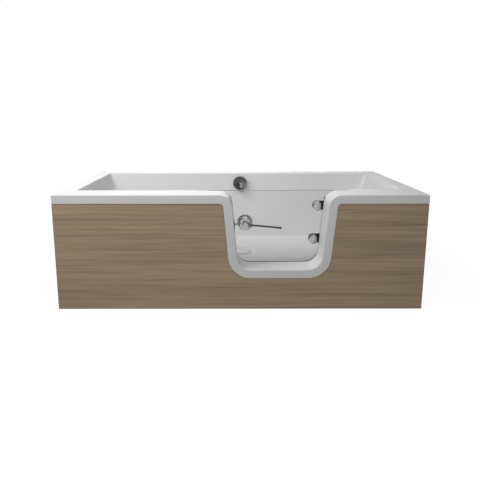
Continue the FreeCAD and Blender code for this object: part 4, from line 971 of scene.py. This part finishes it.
@dataclass
class Hinges:
    """Both hinges with their clamps, arms, brackets and fixings."""

    plate_edge: float = 0.0004
    flat: float = 0.0135

    def clamp(self, level: Level) -> Piece:
        """Make a round outer clamp, cut straight on the side of the jamb.

        Args:
            level: Which hinge it is on.

        Returns:
            The clamp.
        """
        node = f"hinge_{level.value}_disc"
        low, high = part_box(node)
        form = copy_form(node)
        cut = bmesh.ops.bisect_plane(form, geom=form.verts[:] + form.edges[:] + form.faces[:],
                                     plane_co=((low.x + high.x) / 2 + self.flat, 0, 0),
                                     plane_no=(1, 0, 0), clear_outer=True)
        rim = [item for item in cut["geom_cut"] if isinstance(item, bmesh.types.BMEdge)]
        bmesh.ops.edgenet_fill(form, edges=rim)
        return new_piece(f"{level.value}_clamp", form, Palette.POLISHED, Body.DOOR, Slot.METAL,
                         node)

    def build(self) -> list[Piece]:
        """Cut the clamps and finish every other hinge part.

        Returns:
            The finished pieces.
        """
        made = []
        for level in Level:
            made.append(self.clamp(level))
            # arms and brackets in near black, partly a black coat and partly painted shade
            made += [dress(f"hinge_{level.value}_{part}", Palette.BLACK_COAT_AND_SHADE)
                     for part in ("arm", "bracket")]
        made += [dress(node, Palette.SATIN)
                 for node in ("hinge_bolts", "hinge_pins", "hinge_wall_screws")]
        made.append(dress("hinge_backing_plates", Palette.ZINC, self.plate_edge))
        made.append(dress("hinge_gaskets", Palette.SEAL))
        return made


@dataclass
class Lock:
    """The lock, its lever and the plate on the jamb. Pairs are for the long arm and the short
    end."""

    tilt: float = 5.5
    collar_starts: Pair = (0.0143, 0.024)
    collar_ends: Pair = (0.0343, 0.042)
    collar_radii: Pair = (0.0105, 0.0056)
    collar_depth: float = 0.0062
    tail: float = 0.042
    tail_radius: float = 0.0035
    reach: float = 0.171
    rod_radius: float = 0.0043
    tip_length: float = 0.009
    tip_radius: float = 0.0052
    ease: float = 0.0007

    def aim(self, end: LeverEnd) -> tuple[Vector, Vector, Vector]:
        """Find the lever's middle, and its directions on one side of the hub.

        Args:
            end: The end that lies on that side.

        Returns:
            The middle, the direction along the lever and the direction up from it.
        """
        low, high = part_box("lever_hub")
        low_bar, high_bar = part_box("lever_bar")
        middle = Vector(((low.x + high.x) / 2, (low_bar.y + high_bar.y) / 2,
                         (low.z + high.z) / 2))
        slope = math.radians(self.tilt)
        side = end.value
        along = Vector((side * math.cos(slope), 0, -side * math.sin(slope)))
        return middle, along, Vector((side * math.sin(slope), 0, math.cos(slope)))

    def collars(self) -> Piece:
        """Make two oval collars, a tall one beside the hub and a low one on the short end.

        Returns:
            Both collars as one piece.
        """
        form = bmesh.new()
        for lever_end, start, end, radius in zip(LeverEnd, self.collar_starts, self.collar_ends,
                                                 self.collar_radii):
            inner = radius - self.ease
            profile = [(0, start), (inner, start), (radius, start + self.ease),
                       (radius, end - self.ease), (inner, end), (0, end)]
            add_form(form, lathe(profile, *self.aim(lever_end), self.collar_depth / radius))
        # the collars' chrome is darkened as painted shade
        return new_piece("lever_collars", form, Palette.COLLAR_PAINTED_SHADE, Body.LEVER, Slot.METAL,
                         "lever_sleeve")

    def rod(self) -> Piece:
        """Make the lever's bar, stouter and darker on its long arm, with a knob of a tip.

        Returns:
            The bar.
        """
        middle, along, up = self.aim(LeverEnd.LONG)
        start = self.collar_starts[0]
        tip = self.reach - self.tip_length
        inner = self.tip_radius - self.ease
        profile = [(0, -self.tail), (self.tail_radius, -self.tail), (self.tail_radius, start),
                   (self.rod_radius, start), (self.rod_radius, tip), (inner, tip),
                   (self.tip_radius, tip + self.ease), (self.tip_radius, self.reach - self.ease),
                   (inner, self.reach), (0, self.reach)]
        # painted shade: the long arm's chrome is darkened, while the tail keeps the polished chrome
        piece = new_piece("lever_rod", lathe(profile, middle, along, up), Palette.DARK_PAINTED_SHADE,
                          Body.LEVER, Slot.METAL, "lever_bar", "lever_tip")
        second_finish(piece, Palette.POLISHED,
                      lambda face: (face.center - middle).dot(along) < 0)
        return piece

    def build(self) -> list[Piece]:
        """Make the collars and the bar, and finish the lock and the hub.

        Returns:
            The finished pieces.
        """
        made = [dress(node, Palette.POLISHED)
                for node in ("lock_body", "lock_inner_cap", "lever_hub")]
        # the keeper's chrome is darkened as painted shade
        made.append(dress("lock_keeper", Palette.DARK_PAINTED_SHADE))
        made += [self.collars(), self.rod()]
        made.append(dress("lock_gaskets", Palette.SEAL))
        return made


@dataclass
class Waste:
    """The overflow knob, the drain, the trap and what joins them."""

    wall: Point = (0.010, 0.28216, 0.489)
    wall_lean: float = 2.9
    radius: float = 0.0405
    thickness: float = 0.004
    stand_off: float = 0.012
    shoulder: float = 0.029
    crown: float = 0.036
    shoulder_steps: int = 4
    crown_steps: int = 10
    knob_sides: int = 64
    grip_place: Pair = (0.007, -0.013)
    grip_radius: float = 0.015
    grip_height: float = 0.011
    grip_sunk: float = 0.006
    grip_flatten: float = 0.8
    grip_steps: int = 8
    grip_sides: int = 40

    def cap(self) -> Profile:
        """Draw the knob's hollow cap: its inside, its rounded shoulder and its crowned face.

        Returns:
            The outline as (radius, height) pairs.
        """
        inside = self.radius - self.thickness
        under = self.shoulder - self.thickness
        rounding = self.thickness / 2
        outline = [(0, under), (inside, under), (inside, self.stand_off),
                   (self.radius, self.stand_off)]
        outline += [(self.radius - rounding * (1 - across), self.shoulder + rounding * along)
                    for across, along in quarter(self.shoulder_steps)]
        rise = self.crown - self.shoulder - rounding
        for step in range(1, self.crown_steps + 1):
            share = 1 - step / self.crown_steps
            outline.append(((self.radius - rounding) * share, self.crown - rise * share * share))
        return outline

    def dome(self) -> Profile:
        """Draw the knob's finger grip, from the middle of its foot to its top.

        Returns:
            The outline as (radius, height) pairs.
        """
        outline = [(self.grip_radius * across, self.grip_height * along)
                   for across, along in quarter(self.grip_steps)[:-1]]
        return [(0, 0), *outline, (0, self.grip_height)]

    def knob(self) -> Piece:
        """Make the hollow knob with a raised finger grip below its middle.

        Returns:
            The knob.
        """
        slope = math.radians(self.wall_lean)
        out = Vector((0, -math.cos(slope), math.sin(slope)))
        up = Vector((0, math.sin(slope), math.cos(slope)))
        wall = Vector(self.wall)
        form = lathe(self.cap(), wall, out, up, sides=self.knob_sides)
        cap_faces = len(form.faces)
        across, high = self.grip_place
        base = wall + Vector((across, 0, 0)) + up * high + out * (self.crown - self.grip_sunk)
        add_form(form, lathe(self.dome(), base, out, up, self.grip_flatten, self.grip_sides))
        # the knob's chrome is darkened as painted shade
        piece = new_piece("control_knob", form, Palette.KNOB, Body.KNOB, Slot.METAL,
                          "overflow_knob")
        # the grip's faces take the lightened chrome, a painted highlight
        second_finish(piece, Palette.GRIP_PAINTED_HIGHLIGHT, lambda face: face.index >= cap_faces)
        return piece

    def build(self) -> list[Piece]:
        """Make the knob and finish the fittings.

        Returns:
            The finished pieces.
        """
        finishes = {
            Palette.POLISHED: ("overflow_rosette", "drain_flange"),
            Palette.COVER: ("drain_cover",),
            Palette.BRASS: ("overflow_spindle",),
            Palette.SATIN: ("plug_stem",),
            Palette.BLACK_RUBBER: ("plug_seal", "drain_gasket", "overflow_gasket",
                                   "control_cable"),
            Palette.BLACK_PLASTIC: ("cable_drum",),
            Palette.WASTE_PLASTIC: ("overflow_cup", "overflow_pipe", "waste_trap", "dip_tube"),
        }
        made = [dress(node, finish) for finish, nodes in finishes.items() for node in nodes]
        return made + [self.knob()]


@dataclass
class SteelFrame:
    """The rails and posts under the bath, the feet and the panel's brackets."""

    rod_radius: float = 0.006
    rod_sides: int = 20
    thread_pitch: float = 0.00175
    thread_depth: float = 0.0009
    thread_rows: int = 4
    tube_edge: float = 0.0006
    bracket_edge: float = 0.0004

    def rod(self, form: Form, middle: Pair, foot: float, length: float) -> None:
        """Add one foot rod with its thread, which fades out at both ends.

        Args:
            form: The form to add it to.
            middle: Where it stands in X and Y.
            foot: The height of its lower end.
            length: How long it is.
        """
        x, y = middle
        turns = length / self.thread_pitch
        rows = int(turns * self.thread_rows)
        rings = []
        for row in range(rows + 1):
            rise = row / rows
            full = min(1.0, rise * turns, (1 - rise) * turns)
            ring = []
            for side in range(self.rod_sides):
                angle = 2 * math.pi * side / self.rod_sides
                phase = (rise * turns - side / self.rod_sides) % 1.0
                groove = 1 - abs(2 * phase - 1)
                reach = self.rod_radius - self.thread_depth * (groove * full + (1 - full))
                ring.append(form.verts.new((x + reach * math.cos(angle),
                                            y + reach * math.sin(angle), foot + length * rise)))
            rings.append(ring)
        skin(form, rings)

    def threaded_rods(self) -> Piece:
        """Make the six foot rods, with their threads as real relief.

        Returns:
            All six as one piece.
        """
        low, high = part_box("foot_rods")
        inset = self.rod_radius
        form = bmesh.new()
        for x in (low.x + inset, (low.x + high.x) / 2, high.x - inset):
            for y in (low.y + inset, high.y - inset):
                self.rod(form, (x, y), low.z, high.z - low.z)
        return new_piece("threaded_rods", form, Palette.ZINC, Body.BATH, Slot.STEEL, "foot_rods")

    def build(self) -> list[Piece]:
        """Make the rods and finish the tubes, the feet and the brackets.

        Returns:
            The finished pieces.
        """
        made = [self.threaded_rods()]
        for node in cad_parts:
            if node.startswith(("rail_", "cross_rail_", "post_")) and node != "post_pads":
                made.append(dress(node, Palette.FRAME, self.tube_edge))
        made.append(dress("post_pads", Palette.BLACK_RUBBER))
        made.append(dress("foot_nuts", Palette.ZINC, self.tube_edge))
        made.append(dress("foot_pads", Palette.BLACK_PLASTIC))
        made.append(dress("panel_brackets", Palette.ZINC, self.bracket_edge))
        made.append(dress("bracket_screws", Palette.ZINC))
        return made


@dataclass(frozen=True)
class Softbox:
    """A soft square lamp."""

    name: str
    place: Point
    target: Point
    power: float
    size: float = 1.1
    mirrored: bool = False

    def build(self) -> None:
        """Hang the lamp so that it faces its target, hidden from reflections unless mirrored."""
        data = bpy.data.lights.new(self.name, "AREA")
        data.size = self.size
        data.energy = self.power
        lamp = put(self.name, data)
        lamp.location = self.place
        aim = Vector(self.target) - Vector(self.place)
        lamp.rotation_euler = aim.to_track_quat("-Z", "Y").to_euler()
        lamp.visible_glossy = self.mirrored


@dataclass
class Studio:
    """The camera, the pale floor, soft light from the upper left and from both long sides, and
    weaker lamps for the ends, the back and the underside."""

    camera_place: Point = (-0.0408, -2.1743, 0.9090)
    pitch: float = 9.32
    yaw: float = -0.14
    sensor: float = 36.0
    lens: float = 30.817
    shift: Pair = (0.0157, -0.1253)
    sight: float = 200.0
    lamps: tuple[Softbox, ...] = (
        Softbox("key_light", (-1.3, -2.4, 2.2), (-0.6, 0.0, 0.4), 18.4),
        Softbox("left_light", (-1.7, -0.9, 2.3), (-0.5, 0.1, 0.5), 25.5),
        Softbox("side_light", (-0.9, 0.1, 1.7), (-0.9, 0.1, 0.0), 7.0),
        Softbox("doorway_light", (0.4, -1.4, 2.3), (0.2, 0.1, 0.15), 11.5, size=1.0,
                mirrored=True),
        Softbox("right_end_light", (2.6, 0.1, 0.25), (0.85, 0.1, 0.3), 16.0, size=0.4),
        Softbox("left_end_light", (-2.6, 0.1, 0.25), (-0.85, 0.1, 0.3), 9.0, size=0.4),
        Softbox("back_light", (0.0, 2.6, 0.25), (0.0, 0.37, 0.3), 18.0, size=0.4),
        Softbox("underside_light", (0.0, 0.0, -2.2), (0.0, 0.0, 0.0), 26.0),
    )
    behind: float = 2.2
    ahead: float = 0.64
    seam: float = 0.01
    narrowing: float = 4.0
    overhead: float = 0.75
    overhead_limits: Span = (0.5, 0.9)
    floor_half: float = 40.0
    floor_cloud: float = 2.0
    floor_greys: Span = (0.24, 0.26)
    floor_roughness: float = 0.9
    floor_glow: float = 0.88
    glow_limits: Span = (1.2, 4.0)

    def build(self) -> None:
        """Set up the camera, the floor, the lights and the surroundings."""
        self.camera()
        self.floor()
        for lamp in self.lamps:
            lamp.build()
        self.world()
        view = bpy.context.scene.view_settings
        view.view_transform = "Standard"
        view.look = "None"

    def camera(self) -> None:
        """Stand the camera where the photograph was taken from."""
        data = bpy.data.cameras.new("camera")
        data.sensor_width = self.sensor
        data.lens = self.lens
        data.shift_x, data.shift_y = self.shift
        data.clip_end = self.sight
        camera = put("camera", data)
        camera.location = self.camera_place
        camera.rotation_euler = (math.radians(90 - self.pitch), 0, math.radians(self.yaw))
        bpy.context.scene.camera = camera

    def floor(self) -> None:
        """Lay a wide pale floor that glows, more so far away, and is clear from below."""
        form = bmesh.new()
        bmesh.ops.create_grid(form, x_segments=2, y_segments=2, size=self.floor_half)
        mesh = bpy.data.meshes.new("floor")
        form.to_mesh(mesh)
        form.free()
        floor = put("floor", mesh)
        material = bpy.data.materials.new("pale_floor")
        material.use_nodes = True
        web = Web(material.node_tree, "OutputMaterial")
        away = web.node("VectorMath", {0: web.place()}, operation="LENGTH").outputs["Value"]
        glow = web.spread(away, self.floor_glow, 1.0, self.glow_limits)
        greys = [(grey,) * 3 for grey in self.floor_greys]
        colour = web.ramp(web.noise(self.floor_cloud), *zip(MIDDLE, greys))
        top = web.principled(Base_Color=colour, Roughness=self.floor_roughness,
                             Specular_IOR_Level=0.0, Emission_Color=WHITE,
                             Emission_Strength=glow)
        below = web.node("NewGeometry").outputs["Backfacing"]
        web.show_both(below, top, web.node("BsdfTransparent"))
        mesh.materials.append(material)
        floor.visible_diffuse = False
        floor.visible_shadow = False

    def world(self) -> None:
        """Set two soft walls of light, behind the bath and behind the camera, and a soft roof
        that only reflections show. To the eye the surroundings are white."""
        world = bpy.data.worlds.new("surroundings")
        world.use_nodes = True
        bpy.context.scene.world = world
        web = Web(world.node_tree, "OutputWorld")
        parts = web.node("SeparateXYZ", {0: web.node("TexCoord").outputs["Generated"]}).outputs
        away, up = parts[1], parts[2]
        side = web.spread(away, self.ahead, self.behind, (-self.seam, self.seam))
        fall = web.sums(Sum.POWER, web.times(away, away), self.narrowing)
        rays = web.node("LightPath").outputs
        roof = web.spread(up, 0.0, self.overhead, self.overhead_limits)
        level = web.sums(Sum.ADD, web.times(fall, side), web.times(roof, rays["Is Glossy Ray"]))
        strength = web.spread(rays["Is Camera Ray"], level, 1.0, (0.0, 1.0))
        web.show(web.node("Background", {"Color": WHITE, "Strength": strength}))


def main() -> None:
    """Build the studio and every sub-assembly, and log each piece."""
    logging.basicConfig(level=logging.INFO, format="%(name)s %(message)s")
    Studio().build()
    for assembly in (MouldedShell(), FrontPanel(), GlassDoor(), Hinges(), Lock(), Waste(),
                     SteelFrame()):
        for piece in assembly.build():
            log.info("%s: %s", type(assembly).__name__, piece.name)


if __name__ == "__main__":
    main()
